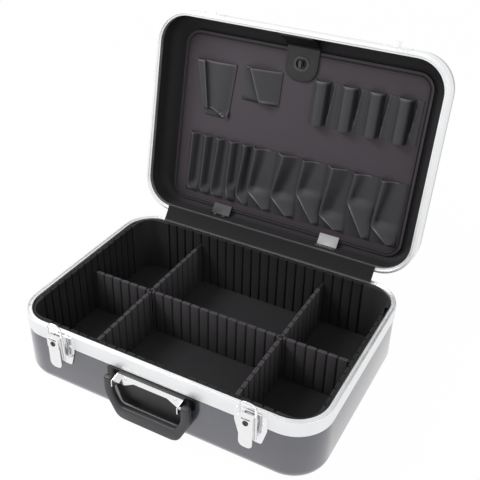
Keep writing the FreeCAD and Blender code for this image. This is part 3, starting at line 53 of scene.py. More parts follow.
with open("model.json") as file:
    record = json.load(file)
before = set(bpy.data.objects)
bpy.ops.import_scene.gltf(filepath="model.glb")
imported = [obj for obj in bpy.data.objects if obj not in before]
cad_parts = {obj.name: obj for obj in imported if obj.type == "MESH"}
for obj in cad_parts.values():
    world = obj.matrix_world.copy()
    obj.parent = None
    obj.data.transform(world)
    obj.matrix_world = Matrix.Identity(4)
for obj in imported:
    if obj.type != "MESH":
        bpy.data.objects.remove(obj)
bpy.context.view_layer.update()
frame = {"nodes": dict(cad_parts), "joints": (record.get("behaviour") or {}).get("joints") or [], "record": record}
JOINTS = {joint["name"]: joint for joint in frame["joints"]}
NODE_BODY = {
    node: body
    for body, nodes in frame["record"]["behaviour"]["bodies"].items()
    for node in nodes
}


def hinge_turn(joint, degrees):
    """The turn about a joint's axis as a matrix."""
    place = Matrix.Translation(Vector(joint["pos_m"]))
    turn = Matrix.Rotation(math.radians(degrees), 4, Vector(joint["axis"]))
    return place @ turn @ place.inverted()


LID_HINGE = JOINTS["lid_hinge"]
LID_OPENED = hinge_turn(LID_HINGE, -LID_HINGE["range_deg"][0])
SMOOTH_ANGLE = math.radians(32)
RIGHT_ANGLE = math.radians(90)
CAD_MERGE = 2e-6


# Sizes and colours that a user would change

def length(name, description, default):
    return bpy.props.FloatProperty(
        name=name, description=description, default=default, min=0, precision=4,
        subtype="DISTANCE", unit="LENGTH",
    )


def turn(name, description, default):
    return bpy.props.FloatProperty(
        name=name, description=description, default=math.radians(default), subtype="ANGLE",
        unit="ROTATION",
    )


def linear(value):
    """One channel from screen value to light."""
    share = value / 255
    return share / 12.92 if share <= 0.04045 else ((share + 0.055) / 1.055) ** 2.4


def colour(name, description, red, green, blue):
    return bpy.props.FloatVectorProperty(
        name=name, description=description, size=4, min=0, max=1, subtype="COLOR",
        default=(linear(red), linear(green), linear(blue), 1),
    )


def amount(name, description, default, highest=1):
    return bpy.props.FloatProperty(
        name=name, description=description, default=default, min=0, max=highest,
    )


class CaseSizes(bpy.types.PropertyGroup):
    """Sizes of the pieces that the scene makes."""
    width: length("Case width", "Across the latches, over the frame", 0.460)
    depth: length("Case depth", "From the handle side to the hinges", 0.320)
    corner: length("Corner radius", "Upright corners of the frame", 0.052)
    rim: length("Rim height", "Top of the base's frame", 0.102)
    lid_face: length("Lid rim height", "Lower face of the shut lid's frame", 0.1023)
    lid_height: length("Lid height", "From its rim to its back", 0.0497)
    shell_inset: length("Shell inset", "From the frame's face to the shell's", 0.0008)
    shell_wall: length("Shell wall", "Thickness of the moulded halves", 0.0025)
    shell_edge: length("Shell edge", "Rounding along the far edge of a half", 0.018)
    frame_height: length("Frame height", "Height of the aluminium band", 0.022)
    frame_face: length("Frame face", "Width of the rim", 0.0075)
    frame_band: length("Frame wall", "Thickness of the aluminium band", 0.0016)
    frame_edge: length("Frame edge", "Rounding of the extrusion's edges", 0.0006)
    rib_pitch: length("Rib pitch", "Step from one foam rib to the next", 0.0153)
    rib_gap: length("Rib gap", "Groove between two foam ribs", 0.0035)
    rib_line: length("Rib line", "Groove that shows between two ribs of the liner", 0.0024)
    liner_wall: length("Liner wall", "Thickness of the ribbed liner", 0.0072)
    liner_corner: length("Liner corner", "Inner corner of the liner", 0.028)
    liner_foot: length("Liner foot", "Height of the liner's lower edge", 0.0074)
    floor_top: length("Floor height", "Top of the foam floor", 0.0095)
    divider_height: length("Divider height", "Height of a divider", 0.0715)
    divider_thickness: length("Divider thickness", "Over the ribs", 0.005)
    divider_place: length("Divider place", "Cross dividers from the middle", 0.1071)
    soft_gap: length("Soft gap", "Between foam or cloth and its neighbour", 0.0003)
    panel_width: length("Panel width", "Across the tool panel", 0.400)
    panel_front: length("Panel top", "Panel's edge at the strap", 0.130)
    panel_rear: length("Panel foot", "Panel's edge at the clips", 0.147)
    panel_corner: length("Panel corner", "Corner radius of the panel", 0.025)
    panel_face: length("Panel face", "Height of the panel's face, lid shut", 0.143)
    facing: length("Facing", "Thickness of the panel's cloth face", 0.0006)
    cloth: length("Pocket cloth", "Thickness of the pockets' cloth", 0.001)
    strap_width: length("Strap width", "Width of the panel strap", 0.052)
    strap_thickness: length("Strap thickness", "Thickness of the panel strap", 0.002)
    strap_bend: length("Strap bend", "Fold line from the case's middle", 0.1325)
    strap_tongue: length("Strap end", "Tongue's end from the middle", 0.084)
    lock_place: length("Turn lock", "Turn lock from the case's middle", 0.1095)
    stitch: length("Stitch", "Length of one stitch", 0.0024)
    stitch_pitch: length("Stitch pitch", "Step from stitch to stitch", 0.0038)
    thread: length("Thread", "Thickness of the thread", 0.0008)
    metal_edge: length("Metal edge", "Rounding on pressed metal", 0.00035)
    handle_arm: length("Handle arm", "Width of the handle's arms", 0.0125)
    handle_bar: length("Handle bar", "Height of the handle's bar", 0.021)
    handle_foot: length("Handle foot", "Width of the handle's lower edge", 0.092)
    handle_shoulder: length("Handle shoulder", "Height where the arms turn in", 0.044)
    handle_gap_foot: length("Grip opening foot", "Width of the opening's foot", 0.0856)
    handle_gap_shoulder: length("Grip opening shoulder", "Where the opening narrows", 0.047)
    eye_width: length("Eyelet hole width", "Hole in the strap", 0.0186)
    eye_height: length("Eyelet hole height", "Hole in the strap", 0.0156)


class CaseColours(bpy.types.PropertyGroup):
    """Colours of the finishes."""
    shell: colour("Shell", "Moulded halves", 58, 59, 72)
    shell_light: colour("Shell, light", "Palest flecks of the moulding", 74, 75, 88)
    aluminium: colour("Aluminium", "Frames", 246, 247, 248)
    chrome: colour("Chrome", "Latches, bails and keepers", 246, 246, 247)
    enamel: colour("Enamel", "Handle mount and small black steel", 15, 15, 16)
    foam: colour("Foam", "Liner and dividers", 30, 28, 30)
    foam_light: colour("Foam, light", "Palest pores of the foam", 46, 44, 46)
    floor_foam: colour("Floor foam", "Foam floor", 30, 28, 31)
    grip: colour("Grip", "Carrying handle", 48, 48, 51)
    rubber: colour("Rubber", "Flap over the hinges", 24, 22, 24)
    lining: colour("Lining", "Cloth inside the lid", 38, 35, 38)
    board: colour("Board", "Board behind the panel's face", 40, 39, 40)
    panel: colour("Panel", "Cloth face of the tool panel", 67, 60, 67)
    pocket: colour("Pocket", "Cloth of the pockets", 58, 57, 62)
    strap: colour("Strap", "Panel strap", 30, 29, 32)
    thread: colour("Thread", "Sewing thread", 16, 15, 18)
    # Crease is a painted highlight on fold edges, the flap's beaded edges and the dividers' tops, standing for
    # light that catches them, not for rubbing.
    crease: colour("Crease", "Rubbed edges of folded cloth", 150, 150, 156)
    floor: colour("Studio floor", "Floor and backdrop", 250, 250, 250)


class CaseStudio(bpy.types.PropertyGroup):
    """Camera and light."""
    camera_place: bpy.props.FloatVectorProperty(
        name="Camera place", description="Where the camera stands", size=3,
        default=(0.43256, -0.74964, 0.7635), subtype="TRANSLATION", unit="LENGTH",
    )
    camera_yaw: turn("Camera yaw", "Turn to the left from +Y", 27.653)
    camera_pitch: turn("Camera pitch", "Tilt below the horizon", 32.824)
    camera_roll: turn("Camera roll", "Turn about the line of sight", 1.285)
    lens: bpy.props.FloatProperty(
        name="Lens", description="Focal length in millimetres", default=57.64, min=1,
        unit="CAMERA",
    )
    sky: amount("Sky", "Plain light from all round", 0.5, 5)
    key: amount("Key lamp", "Watts of the lamp above, at the left", 26, 500)
    side: amount("Side lamp", "Watts of the lamp at the right", 4, 500)


# Flat outlines and swept sections

def rounded_outline(width, depth, radius, steps=14):
    """Corners of a rounded rectangle about the origin, anticlockwise."""
    radius = max(radius, 0.0004)
    spots = []
    signs = ((1, -1), (1, 1), (-1, 1), (-1, -1))
    for quarter, (right, back) in enumerate(signs):
        middle = Vector((right * (width / 2 - radius), back * (depth / 2 - radius)))
        for step in range(steps + 1):
            angle = RIGHT_ANGLE * (quarter - 1 + step / steps)
            spots.append(middle + radius * Vector((math.cos(angle), math.sin(angle))))
    return spots


def eased_corners(corners, radius, steps=3, closed=True):
    """Replace the corners of a flat path by short curves."""
    spots = []
    last = len(corners) - 1
    for index, corner in enumerate(corners):
        here = Vector(corner)
        if not closed and index in (0, last):
            spots.append(here)
            continue
        before = Vector(corners[index - 1]) - here
        after = Vector(corners[(index + 1) % len(corners)]) - here
        wanted = radius[index] if isinstance(radius, (list, tuple)) else radius
        reach = min(wanted, before.length * 0.49, after.length * 0.49)
        start = here + before.normalized() * reach
        end = here + after.normalized() * reach
        for step in range(steps + 1):
            share = step / steps
            spots.append(start.lerp(here, share).lerp(here.lerp(end, share), share))
    return spots


def arc_spots(centre, radius, first, last, steps):
    """Points on an arc between two angles in degrees."""
    spots = []
    for step in range(steps + 1):
        angle = math.radians(first + (last - first) * step / steps)
        spots.append(Vector(centre) + radius * Vector((math.cos(angle), math.sin(angle))))
    return spots


def corner_arc(inset, height, radius, first, last, steps):
    """A round of a wall's section about a middle given as inset and height."""
    return [(inset - spot.x, height + spot.y)
            for spot in arc_spots((0, 0), radius, first, last, steps)]


def new_object(name, mesh):
    piece = bpy.data.objects.new(name, mesh)
    bpy.context.scene.collection.objects.link(piece)
    return piece


def mesh_piece(name, points, faces):
    mesh = bpy.data.meshes.new(name)
    mesh.from_pydata([tuple(point) for point in points], [], faces)
    return new_object(name, mesh)


def swept_round(name, section, width, depth, radius, closed=True, middle=0.0):
    """Carry a section of inset and height round a rounded rectangle."""
    points = []
    for inset, height in section:
        ring = rounded_outline(width - 2 * inset, depth - 2 * inset, radius - inset)
        points.extend((spot.x, spot.y + middle, height) for spot in ring)
    count = len(points) // len(section)
    faces = []
    rows = len(section) if closed else len(section) - 1
    for row in range(rows):
        low = row * count
        high = (row + 1) % len(section) * count
        for step in range(count):
            after = (step + 1) % count
            faces.append((low + step, low + after, high + after, high + step))
    if not closed:
        faces.append(tuple(reversed(range(count))))
        top = (len(section) - 1) * count
        faces.append(tuple(range(top, top + count)))
    return mesh_piece(name, points, faces)


def swept_across(name, section, left, right, steps=1):
    """Carry a closed section in the YZ plane along X."""
    points = []
    for step in range(steps + 1):
        across = left + (right - left) * step / steps
        points.extend((across, spot[0], spot[1]) for spot in section)
    count = len(section)
    faces = []
    for step in range(steps):
        low = step * count
        high = low + count
        for index in range(count):
            after = (index + 1) % count
            faces.append((low + index, low + after, high + after, high + index))
    faces.append(tuple(range(count)))
    faces.append(tuple(reversed(range(steps * count, (steps + 1) * count))))
    return mesh_piece(name, points, faces)


def baked(carrier, name):
    """The evaluated form of an object as a plain mesh object."""
    bpy.context.view_layer.update()
    graph = bpy.context.evaluated_depsgraph_get()
    mesh = bpy.data.meshes.new_from_object(carrier.evaluated_get(graph))
    mesh.name = name
    source = carrier.data
    bpy.data.objects.remove(carrier)
    if isinstance(source, bpy.types.Curve):
        bpy.data.curves.remove(source)
    else:
        bpy.data.meshes.remove(source)
    return new_object(name, mesh)


def cut_plate(name, loops, thickness, edge, place=Matrix.Identity(4)):
    """A plate with eased edges: the first loop is its outline, the others are holes."""
    curve = bpy.data.curves.new(name, "CURVE")
    curve.dimensions = "2D"
    curve.fill_mode = "BOTH"
    curve.extrude = thickness / 2 - edge
    curve.bevel_depth = edge
    curve.bevel_resolution = 2
    curve.offset = -edge
    for loop in loops:
        spline = curve.splines.new("POLY")
        spline.points.add(len(loop) - 1)
        for point, spot in zip(spline.points, loop):
            point.co = (spot[0], spot[1], 0, 1)
        spline.use_cyclic_u = True
    plate = baked(new_object(name, curve), name)
    plate.data.transform(place)
    return plate


UPRIGHT = Matrix.Rotation(RIGHT_ANGLE, 4, "X")


def joined_pieces(name, pieces):
    """Join several mesh objects into one."""
    whole = bmesh.new()
    for piece in pieces:
        whole.from_mesh(piece.data)
        source = piece.data
        bpy.data.objects.remove(piece)
        bpy.data.meshes.remove(source)
    mesh = bpy.data.meshes.new(name)
    whole.to_mesh(mesh)
    whole.free()
    return new_object(name, mesh)


def mend_normals(piece):
    mesh = piece.data
    work = bmesh.new()
    work.from_mesh(mesh)
    bmesh.ops.remove_doubles(work, verts=work.verts, dist=1e-7)
    bmesh.ops.recalc_face_normals(work, faces=work.faces)
    work.to_mesh(mesh)
    work.free()


def paint_mask(piece, name, shares):
    """Give each point a share that the finish reads as a mask."""
    mask = piece.data.attributes.new(name, "FLOAT", "POINT")
    mask.data.foreach_set("value", shares)


def dress(mesh, material):
    """Give a mesh its one material and smooth faces with sharp corners."""
    mesh.materials.clear()
    mesh.materials.append(material)
    mesh.shade_smooth()
    mesh.set_sharp_from_angle(angle=SMOOTH_ANGLE)


def place_piece(piece, material, body, stands_for=(), open_lid=False, mend=True):
    """Give a finished piece its finish and hand it to the body it rides on."""
    if open_lid:
        piece.data.transform(LID_OPENED)
    if mend:
        mend_normals(piece)
    dress(piece.data, material)
    if body is not None:
        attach(piece, body)
    if stands_for:
        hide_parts(*stands_for)
    return piece


def soften_node(node, material, width, name):
    """A copy of a rigid CAD node whose sharp edges are eased."""
    source = frame["nodes"][node]
    piece = new_object(name, source.data.copy())
    work = bmesh.new()
    work.from_mesh(piece.data)
    bmesh.ops.remove_doubles(work, verts=work.verts, dist=CAD_MERGE)
    bmesh.ops.dissolve_limit(work, angle_limit=math.radians(1), verts=work.verts,
                             edges=work.edges)
    work.to_mesh(piece.data)
    work.free()
    dress(piece.data, material)
    bevel = piece.modifiers.new("eased edges", "BEVEL")
    bevel.width = width
    bevel.segments = 2
    bevel.limit_method = "ANGLE"
    bevel.angle_limit = math.radians(40)
    bevel.use_clamp_overlap = True
    bevel.harden_normals = True
    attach(piece, NODE_BODY[node])
    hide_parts(node)
    return piece


# Node trees

OUTPUT_KINDS = {"Colour": "NodeSocketColor", "Geometry": "NodeSocketGeometry"}


def add_node(tree, kind, values=None, **settings):
    """Add a node, set its properties, and set or link its inputs by name or number."""
    item = tree.nodes.new(kind)
    for name, value in settings.items():
        setattr(item, name, value)
    for key, value in (values or {}).items():
        socket = item.inputs[key]
        if isinstance(value, bpy.types.NodeSocket):
            tree.links.new(value, socket)
        else:
            socket.default_value = value
    return item


def input_kind(label, default):
    """The kind of socket that a group's input calls for."""
    if label in ("Geometry", "Material"):
        return "NodeSocket" + label
    if isinstance(default, float):
        return "NodeSocketFloat"
    return "NodeSocketColor" if len(default) == 4 else "NodeSocketVector"


def shared_group(name, kind, inputs, outputs, fill):
    """A node group that is filled once; each later call gets the same one."""
    if name in bpy.data.node_groups:
        return bpy.data.node_groups[name]
    tree = bpy.data.node_groups.new(name, kind)
    for label, default in inputs.items():
        socket = tree.interface.new_socket(label, in_out="INPUT",
                                           socket_type=input_kind(label, default))
        if default is not None:
            socket.default_value = default
    for label in outputs:
        tree.interface.new_socket(label, in_out="OUTPUT",
                                  socket_type=OUTPUT_KINDS.get(label, "NodeSocketFloat"))
    enter = tree.nodes.new("NodeGroupInput")
    add_node(tree, "NodeGroupOutput", fill(tree, enter.outputs))
    return tree


def geometry_group(name, inputs, fill):
    """A geometry group whose result is realized and painted with its material."""
    def painted(tree, given):
        real = add_node(tree, "GeometryNodeRealizeInstances", {"Geometry": fill(tree, given)})
        paint = add_node(tree, "GeometryNodeSetMaterial", {
            "Geometry": real.outputs["Geometry"], "Material": given["Material"],
        })
        return {"Geometry": paint.outputs["Geometry"]}

    sockets = {"Geometry": None, **inputs, "Material": None}
    return shared_group(name, "GeometryNodeTree", sockets, ["Geometry"], painted)


def vector(tree, x, y, z):
    return add_node(tree, "ShaderNodeCombineXYZ", {"X": x, "Y": y, "Z": z}).outputs["Vector"]


def set_on_points(tree, points, instance, rotation, scale):
    """One turned and scaled instance on each point."""
    return add_node(tree, "GeometryNodeInstanceOnPoints", {
        "Points": points, "Instance": instance, "Rotation": rotation, "Scale": scale,
    }).outputs["Instances"]


def point_value(tree, name):
    """A number that the points carry under a name."""
    return add_node(tree, "GeometryNodeInputNamedAttribute", {"Name": name},
                    data_type="FLOAT").outputs["Attribute"]


def rib_tree():
    """Upright ribs with rounded edges, one on each point."""
    def fill(tree, given):
        outline = add_node(tree, "GeometryNodeCurvePrimitiveQuadrilateral", {
            "Width": given["Width"], "Height": given["Depth"],
        })
        eased = add_node(tree, "GeometryNodeFilletCurve", {
            "Curve": outline.outputs["Curve"], "Radius": given["Edge"], "Count": 3,
            "Limit Radius": True,
        }, mode="POLY")
        filled = add_node(tree, "GeometryNodeFillCurve", {"Curve": eased.outputs["Curve"]},
                          mode="NGONS")
        grown = add_node(tree, "GeometryNodeExtrudeMesh", {
            "Mesh": filled.outputs["Mesh"], "Offset Scale": given["Height"],
            "Individual": False,
        })
        foot = add_node(tree, "GeometryNodeFlipFaces", {"Mesh": filled.outputs["Mesh"]})
        whole = add_node(tree, "GeometryNodeJoinGeometry")
        for part in (grown, foot):
            tree.links.new(part.outputs["Mesh"], whole.inputs["Geometry"])
        return set_on_points(
            tree, given["Geometry"], whole.outputs["Geometry"],
            vector(tree, 0.0, 0.0, point_value(tree, "facing")),
            vector(tree, point_value(tree, "share"), 1.0, 1.0),
        )

    return geometry_group("Upright ribs", {
        "Width": 0.0118, "Depth": 0.0035, "Height": 0.09, "Edge": 0.0008,
    }, fill)


def stitch_tree():
    """Stitches laid end to end along a path."""
    def fill(tree, given):
        path = add_node(tree, "GeometryNodeMeshToCurve", {"Mesh": given["Geometry"]})
        spots = add_node(tree, "GeometryNodeCurveToPoints", {
            "Curve": path.outputs["Curve"], "Length": given["Pitch"],
        }, mode="LENGTH")
        bead = add_node(tree, "GeometryNodeMeshUVSphere", {"Segments": 6, "Rings": 4,
                                                           "Radius": 0.5})
        return set_on_points(
            tree, spots.outputs["Points"], bead.outputs["Mesh"], spots.outputs["Rotation"],
            vector(tree, given["Thread"], given["Thread"], given["Length"]),
        )

    return geometry_group("Stitches", {
        "Pitch": 0.0038, "Length": 0.0024, "Thread": 0.0006,
    }, fill)


def rivet_tree():
    """Domed rivet heads, one on each point, standing along an outward direction."""
    def fill(tree, given):
        dome = add_node(tree, "GeometryNodeMeshUVSphere", {"Segments": 20, "Rings": 10,
                                                           "Radius": 1.0})
        aimed = add_node(tree, "FunctionNodeAlignRotationToVector", {
            "Vector": given["Outward"],
        }, axis="Z")
        return set_on_points(
            tree, given["Geometry"], dome.outputs["Mesh"], aimed.outputs["Rotation"],
            vector(tree, given["Radius"], given["Radius"], given["Height"]),
        )

    return geometry_group("Rivet heads", {
        "Radius": 0.0024, "Height": 0.0009, "Outward": (0, -1, 0),
    }, fill)


def grown_by_nodes(name, tree, points, edges=(), attributes=None, **values):
    """Run a geometry tree on points or paths, and keep the result as a plain mesh."""
    mesh = bpy.data.meshes.new(name + "_seed")
    mesh.from_pydata([tuple(point) for point in points], list(edges), [])
    for label, numbers in (attributes or {}).items():
        mesh.attributes.new(label, "FLOAT", "POINT").data.foreach_set("value", numbers)
    seed = new_object(name + "_seed", mesh)
    modifier = seed.modifiers.new("grown", "NODES")
    modifier.node_group = tree
    sockets = {item.name: item.identifier for item in tree.interface.items_tree
               if item.in_out == "INPUT"}
    for label, value in values.items():
        modifier[sockets[label]] = value
    return baked(seed, name)


def path_edges(*counts, closed=False):
    """Edges of one or more paths whose points follow each other in one list."""
    edges = []
    start = 0
    for count in counts:
        edges.extend((start + step, start + step + 1) for step in range(count - 1))
        if closed:
            edges.append((start + count - 1, start))
        start += count
    return edges


# Shader nodes that the finishes share

def object_place(tree):
    return add_node(tree, "ShaderNodeTexCoord").outputs["Object"]


def noise(tree, place, scale, detail, roughness=0.5):
    return add_node(tree, "ShaderNodeTexNoise", {
        "Vector": place, "Scale": scale, "Detail": detail, "Roughness": roughness,
    })


def ranged(tree, value, low, high, first=0.0, last=1.0, **settings):
    """A value carried from one range into another."""
    return add_node(tree, "ShaderNodeMapRange", {
        "Value": value, 1: low, 2: high, 3: first, 4: last,
    }, **settings).outputs["Result"]


def maths(tree, operation, first, second, **settings):
    return add_node(tree, "ShaderNodeMath", {0: first, 1: second}, operation=operation,
                    **settings).outputs["Value"]


def mixed_colour(tree, share, first, second):
    return add_node(tree, "ShaderNodeMix", {0: share, 6: first, 7: second},
                    data_type="RGBA").outputs[2]


def shader_group(name, inputs, outputs, fill):
    return shared_group(name, "ShaderNodeTree", inputs, outputs, fill)


def grain_group():
    """Fine moulded grain over a slow drift of colour."""
    def fill(tree, given):
        place = object_place(tree)
        fine = noise(tree, place, given["Scale"], 3.0, 0.6).outputs["Fac"]
        broad = noise(tree, place, given["Drift"], 2.0).outputs["Fac"]
        fleck = ranged(tree, fine, 0.5, 0.75, 0.0, given["Speckle"])
        spread = ranged(tree, broad, 0.35, 0.7, 0.0, 0.5)
        share = maths(tree, "ADD", fleck, spread, use_clamp=True)
        return {
            "Colour": mixed_colour(tree, share, given["Colour"], given["Light Colour"]),
            "Height": fine, "Roughness": ranged(tree, broad, 0.3, 0.7),
        }

    return shader_group("Moulded grain", {
        "Colour": (0.2, 0.2, 0.2, 1), "Light Colour": (0.3, 0.3, 0.3, 1),
        "Scale": 900.0, "Drift": 9.0, "Speckle": 0.3,
    }, ["Colour", "Height", "Roughness"], fill)


def pebble_group():
    """The pebbled face of coated cloth."""
    def fill(tree, given):
        place = object_place(tree)
        warp = noise(tree, place, 260.0, 2.0)
        moved = add_node(tree, "ShaderNodeVectorMath", {
            0: warp.outputs["Color"], 1: (0.0015, 0.0015, 0.0015), 2: place,
        }, operation="MULTIPLY_ADD")
        cells = add_node(tree, "ShaderNodeTexVoronoi", {
            "Vector": moved.outputs["Vector"], "Scale": given["Scale"],
        }, feature="DISTANCE_TO_EDGE")
        raised = ranged(tree, cells.outputs["Distance"], 0.0, 0.25,
                        interpolation_type="SMOOTHSTEP")
        cloudy = noise(tree, place, 22.0, 3.0).outputs["Fac"]
        share = maths(tree, "MULTIPLY", raised, ranged(tree, cloudy, 0.3, 0.7, 0.55))
        return {
            "Colour": mixed_colour(tree, share, given["Hollow Colour"], given["Colour"]),
            "Height": raised,
        }

    return shader_group("Pebbled coating", {
        "Colour": (0.1, 0.1, 0.1, 1), "Hollow Colour": (0.05, 0.05, 0.05, 1),
        "Scale": 800.0,
    }, ["Colour", "Height"], fill)


def weave_group():
    """Plain weave: crossing threads on two axes of the piece."""
    def fill(tree, given):
        place = object_place(tree)
        heights = [add_node(tree, "ShaderNodeTexWave", {
            "Vector": place, "Scale": given["Scale"], "Distortion": 0.6, "Detail": 1.0,
            "Detail Scale": 2.0,
        }, wave_type="BANDS", bands_direction=axis).outputs["Fac"] for axis in ("X", "Z")]
        crossed = maths(tree, "MULTIPLY", *heights)
        return {
            "Colour": mixed_colour(tree, crossed, given["Hollow Colour"], given["Colour"]),
            "Height": crossed,
        }

    return shader_group("Plain weave", {
        "Colour": (0.1, 0.1, 0.1, 1), "Hollow Colour": (0.05, 0.05, 0.05, 1),
        "Scale": 320.0,
    }, ["Colour", "Height"], fill)


def brushed_group():
    """Faint drawn lines of worked metal."""
    def fill(tree, given):
        place = object_place(tree)
        scaled = add_node(tree, "ShaderNodeVectorMath", {
            0: place, 1: vector(tree, given["Along"], given["Along"], given["Across"]),
        }, operation="MULTIPLY")
        lines = noise(tree, scaled.outputs["Vector"], 1.0, 4.0, 0.7).outputs["Fac"]
        smear = noise(tree, place, 40.0, 3.0).outputs["Fac"]
        return {
            "Colour": mixed_colour(tree, smear, given["Dull Colour"], given["Colour"]),
            "Height": lines, "Roughness": smear,
        }

    return shader_group("Drawn metal", {
        "Colour": (0.8, 0.8, 0.8, 1), "Dull Colour": (0.6, 0.6, 0.6, 1), "Along": 12.0,
        "Across": 900.0,
    }, ["Colour", "Height", "Roughness"], fill)


# Finishes

def scaled_colour(base, factor):
    """A lighter or darker version of a colour."""
    return tuple(min(1, channel * factor) for channel in base[:3]) + (1,)


def new_finish(name, group, values, rough, relief, metallic=0.0, tint=None, hollow=None,
               **shader):
    """A material whose colour, roughness and relief come from one shared group.

    The tint is a painted highlight where the piece's crease mask is painted, the hollow
    colour a painted shade where its hollow mask is.
    """
    if name in bpy.data.materials:
        return bpy.data.materials[name]
    material = bpy.data.materials.new(name)
    material.use_nodes = True
    tree = material.node_tree
    gloss = tree.nodes["Principled BSDF"]
    pattern = tree.nodes.new("ShaderNodeGroup")
    pattern.node_tree = group
    for label, value in values.items():
        pattern.inputs[label].default_value = value
    base = pattern.outputs["Colour"]
    for mask_name, painted in (("crease", tint), ("hollow", hollow)):
        if painted is not None:
            mask = add_node(tree, "ShaderNodeAttribute", attribute_name=mask_name)
            base = mixed_colour(tree, mask.outputs["Fac"], base, painted)
    tree.links.new(base, gloss.inputs["Base Color"])
    source = pattern.outputs.get("Roughness") or pattern.outputs["Height"]
    tree.links.new(ranged(tree, source, 0.25, 0.75, *rough), gloss.inputs["Roughness"])
    strength, distance = relief
    bump = add_node(tree, "ShaderNodeBump", {
        "Height": pattern.outputs["Height"], "Strength": strength, "Distance": distance,
    })
    tree.links.new(bump.outputs["Normal"], gloss.inputs["Normal"])
    gloss.inputs["Metallic"].default_value = metallic
    for label, value in shader.items():
        gloss.inputs[label.replace("_", " ")].default_value = value
    return material


def grained(name, colour, light, scale, drift, speckle, **more):
    return new_finish(name, grain_group(), {
        "Colour": colour, "Light Colour": light, "Scale": scale, "Drift": drift,
        "Speckle": speckle,
    }, **more)


def clothed(name, group, colour, deep, scale, **more):
    return new_finish(name, group, {
        "Colour": colour, "Hollow Colour": deep, "Scale": scale,
    }, **more)


def drawn(name, colour, dull, along, across, **more):
    return new_finish(name, brushed_group(), {
        "Colour": colour, "Dull Colour": dull, "Along": along, "Across": across,
    }, **more)


def shell_finish(c):
    return grained("Moulded shell", c.shell, c.shell_light, scale=1400.0, drift=6.0,
                   speckle=0.35, rough=(0.24, 0.34), relief=(0.12, 0.0003),
                   Coat_Weight=1.0, Coat_Roughness=0.1, Coat_IOR=1.8)


def aluminium_finish(c):
    return drawn("Satin aluminium", c.aluminium, scaled_colour(c.aluminium, 0.9), along=8.0,
                 across=1400.0, rough=(0.34, 0.46), relief=(0.06, 0.0002), metallic=0.85)


def chrome_finish(c):
    return drawn("Bright chrome", c.chrome, scaled_colour(c.chrome, 0.88), along=60.0,
                 across=60.0, rough=(0.08, 0.2), relief=(0.03, 0.0002), metallic=1.0)


def satin_finish(c, name, tone):
    return drawn(name, scaled_colour(c.chrome, tone), scaled_colour(c.chrome, tone * 0.85),
                 along=60.0, across=60.0, rough=(0.38, 0.5), relief=(0.03, 0.0002),
                 metallic=0.75)


def dark_steel_finish(c):
    return drawn("Dark steel", scaled_colour(c.chrome, 0.1), scaled_colour(c.chrome, 0.05),
                 along=60.0, across=60.0, rough=(0.2, 0.34), relief=(0.03, 0.0002),
                 metallic=0.6)


def enamel_finish(c):
    return grained("Black enamel", c.enamel, scaled_colour(c.enamel, 1.7), scale=700.0,
                   drift=20.0, speckle=0.3, rough=(0.3, 0.45), relief=(0.1, 0.0003))


def foam_finish(c):
    # Its tint is a painted highlight for the dividers' rib tops, its hollow colour painted shade for the liner's
    # rib tops.
    return grained("Ribbed foam", c.foam, c.foam_light, scale=1700.0, drift=14.0,
                   speckle=0.8, rough=(0.78, 0.95), relief=(0.5, 0.0005),
                   tint=scaled_colour(c.foam_light, 3.2), hollow=scaled_colour(c.foam, 0.3))


def floor_foam_finish(c):
    return grained("Floor foam", c.floor_foam, c.foam_light, scale=1900.0, drift=9.0,
                   speckle=0.35, rough=(0.85, 0.97), relief=(0.45, 0.0004))


def grip_finish(c):
    return grained("Grip moulding", c.grip, scaled_colour(c.grip, 1.35), scale=1100.0,
                   drift=18.0, speckle=0.4, rough=(0.34, 0.48), relief=(0.16, 0.0003))


def board_finish(c):
    return grained("Stiff board", c.board, scaled_colour(c.board, 1.4), scale=900.0,
                   drift=20.0, speckle=0.4, rough=(0.6, 0.75), relief=(0.2, 0.0003))


def rubber_finish(c):
    # The tint is a painted highlight along the flap's beaded edges.
    return clothed("Flap rubber", pebble_group(), c.rubber, scaled_colour(c.rubber, 0.7),
                   scale=900.0, rough=(0.7, 0.85), relief=(0.2, 0.0003),
                   tint=scaled_colour(c.crease, 0.4), Specular_IOR_Level=0.3)


def panel_finish(c):
    return clothed("Coated panel cloth", pebble_group(), c.panel,
                   scaled_colour(c.panel, 0.8), scale=1000.0, rough=(0.52, 0.66),
                   relief=(0.16, 0.0003))


def pocket_finish(c):
    # The tint is a painted highlight on fold edges, ridges and mouths; the hollow colour is painted shade in
    # folds, under flaps and at seams.
    return clothed("Coated pocket cloth", pebble_group(), c.pocket,
                   scaled_colour(c.pocket, 0.78), scale=1000.0, rough=(0.4, 0.55),
                   relief=(0.16, 0.0003), tint=c.crease,
                   hollow=scaled_colour(c.pocket, 0.28))


def lining_finish(c):
    return clothed("Lid lining cloth", weave_group(), scaled_colour(c.lining, 1.3),
                   scaled_colour(c.lining, 0.7), scale=420.0, rough=(0.75, 0.92),
                   relief=(0.3, 0.0003))


def strap_finish(c):
    # The hollow colour is painted shade on the strap's root.
    return clothed("Strap webbing", weave_group(), scaled_colour(c.strap, 1.15),
                   scaled_colour(c.strap, 0.7), scale=260.0, rough=(0.3, 0.45),
                   relief=(0.2, 0.0003), hollow=scaled_colour(c.strap, 0.3))


def thread_finish(c):
    return clothed("Sewing thread", weave_group(), scaled_colour(c.thread, 1.2),
                   scaled_colour(c.thread, 0.6), scale=1600.0, rough=(0.5, 0.7),
                   relief=(0.3, 0.0002))


# Shells, frames and the foam inside the base

def level_section(section, rim, up):
    """Turn insets and depths from the rim into insets and heights."""
    return [(inset, rim + up * depth) for inset, depth in section]


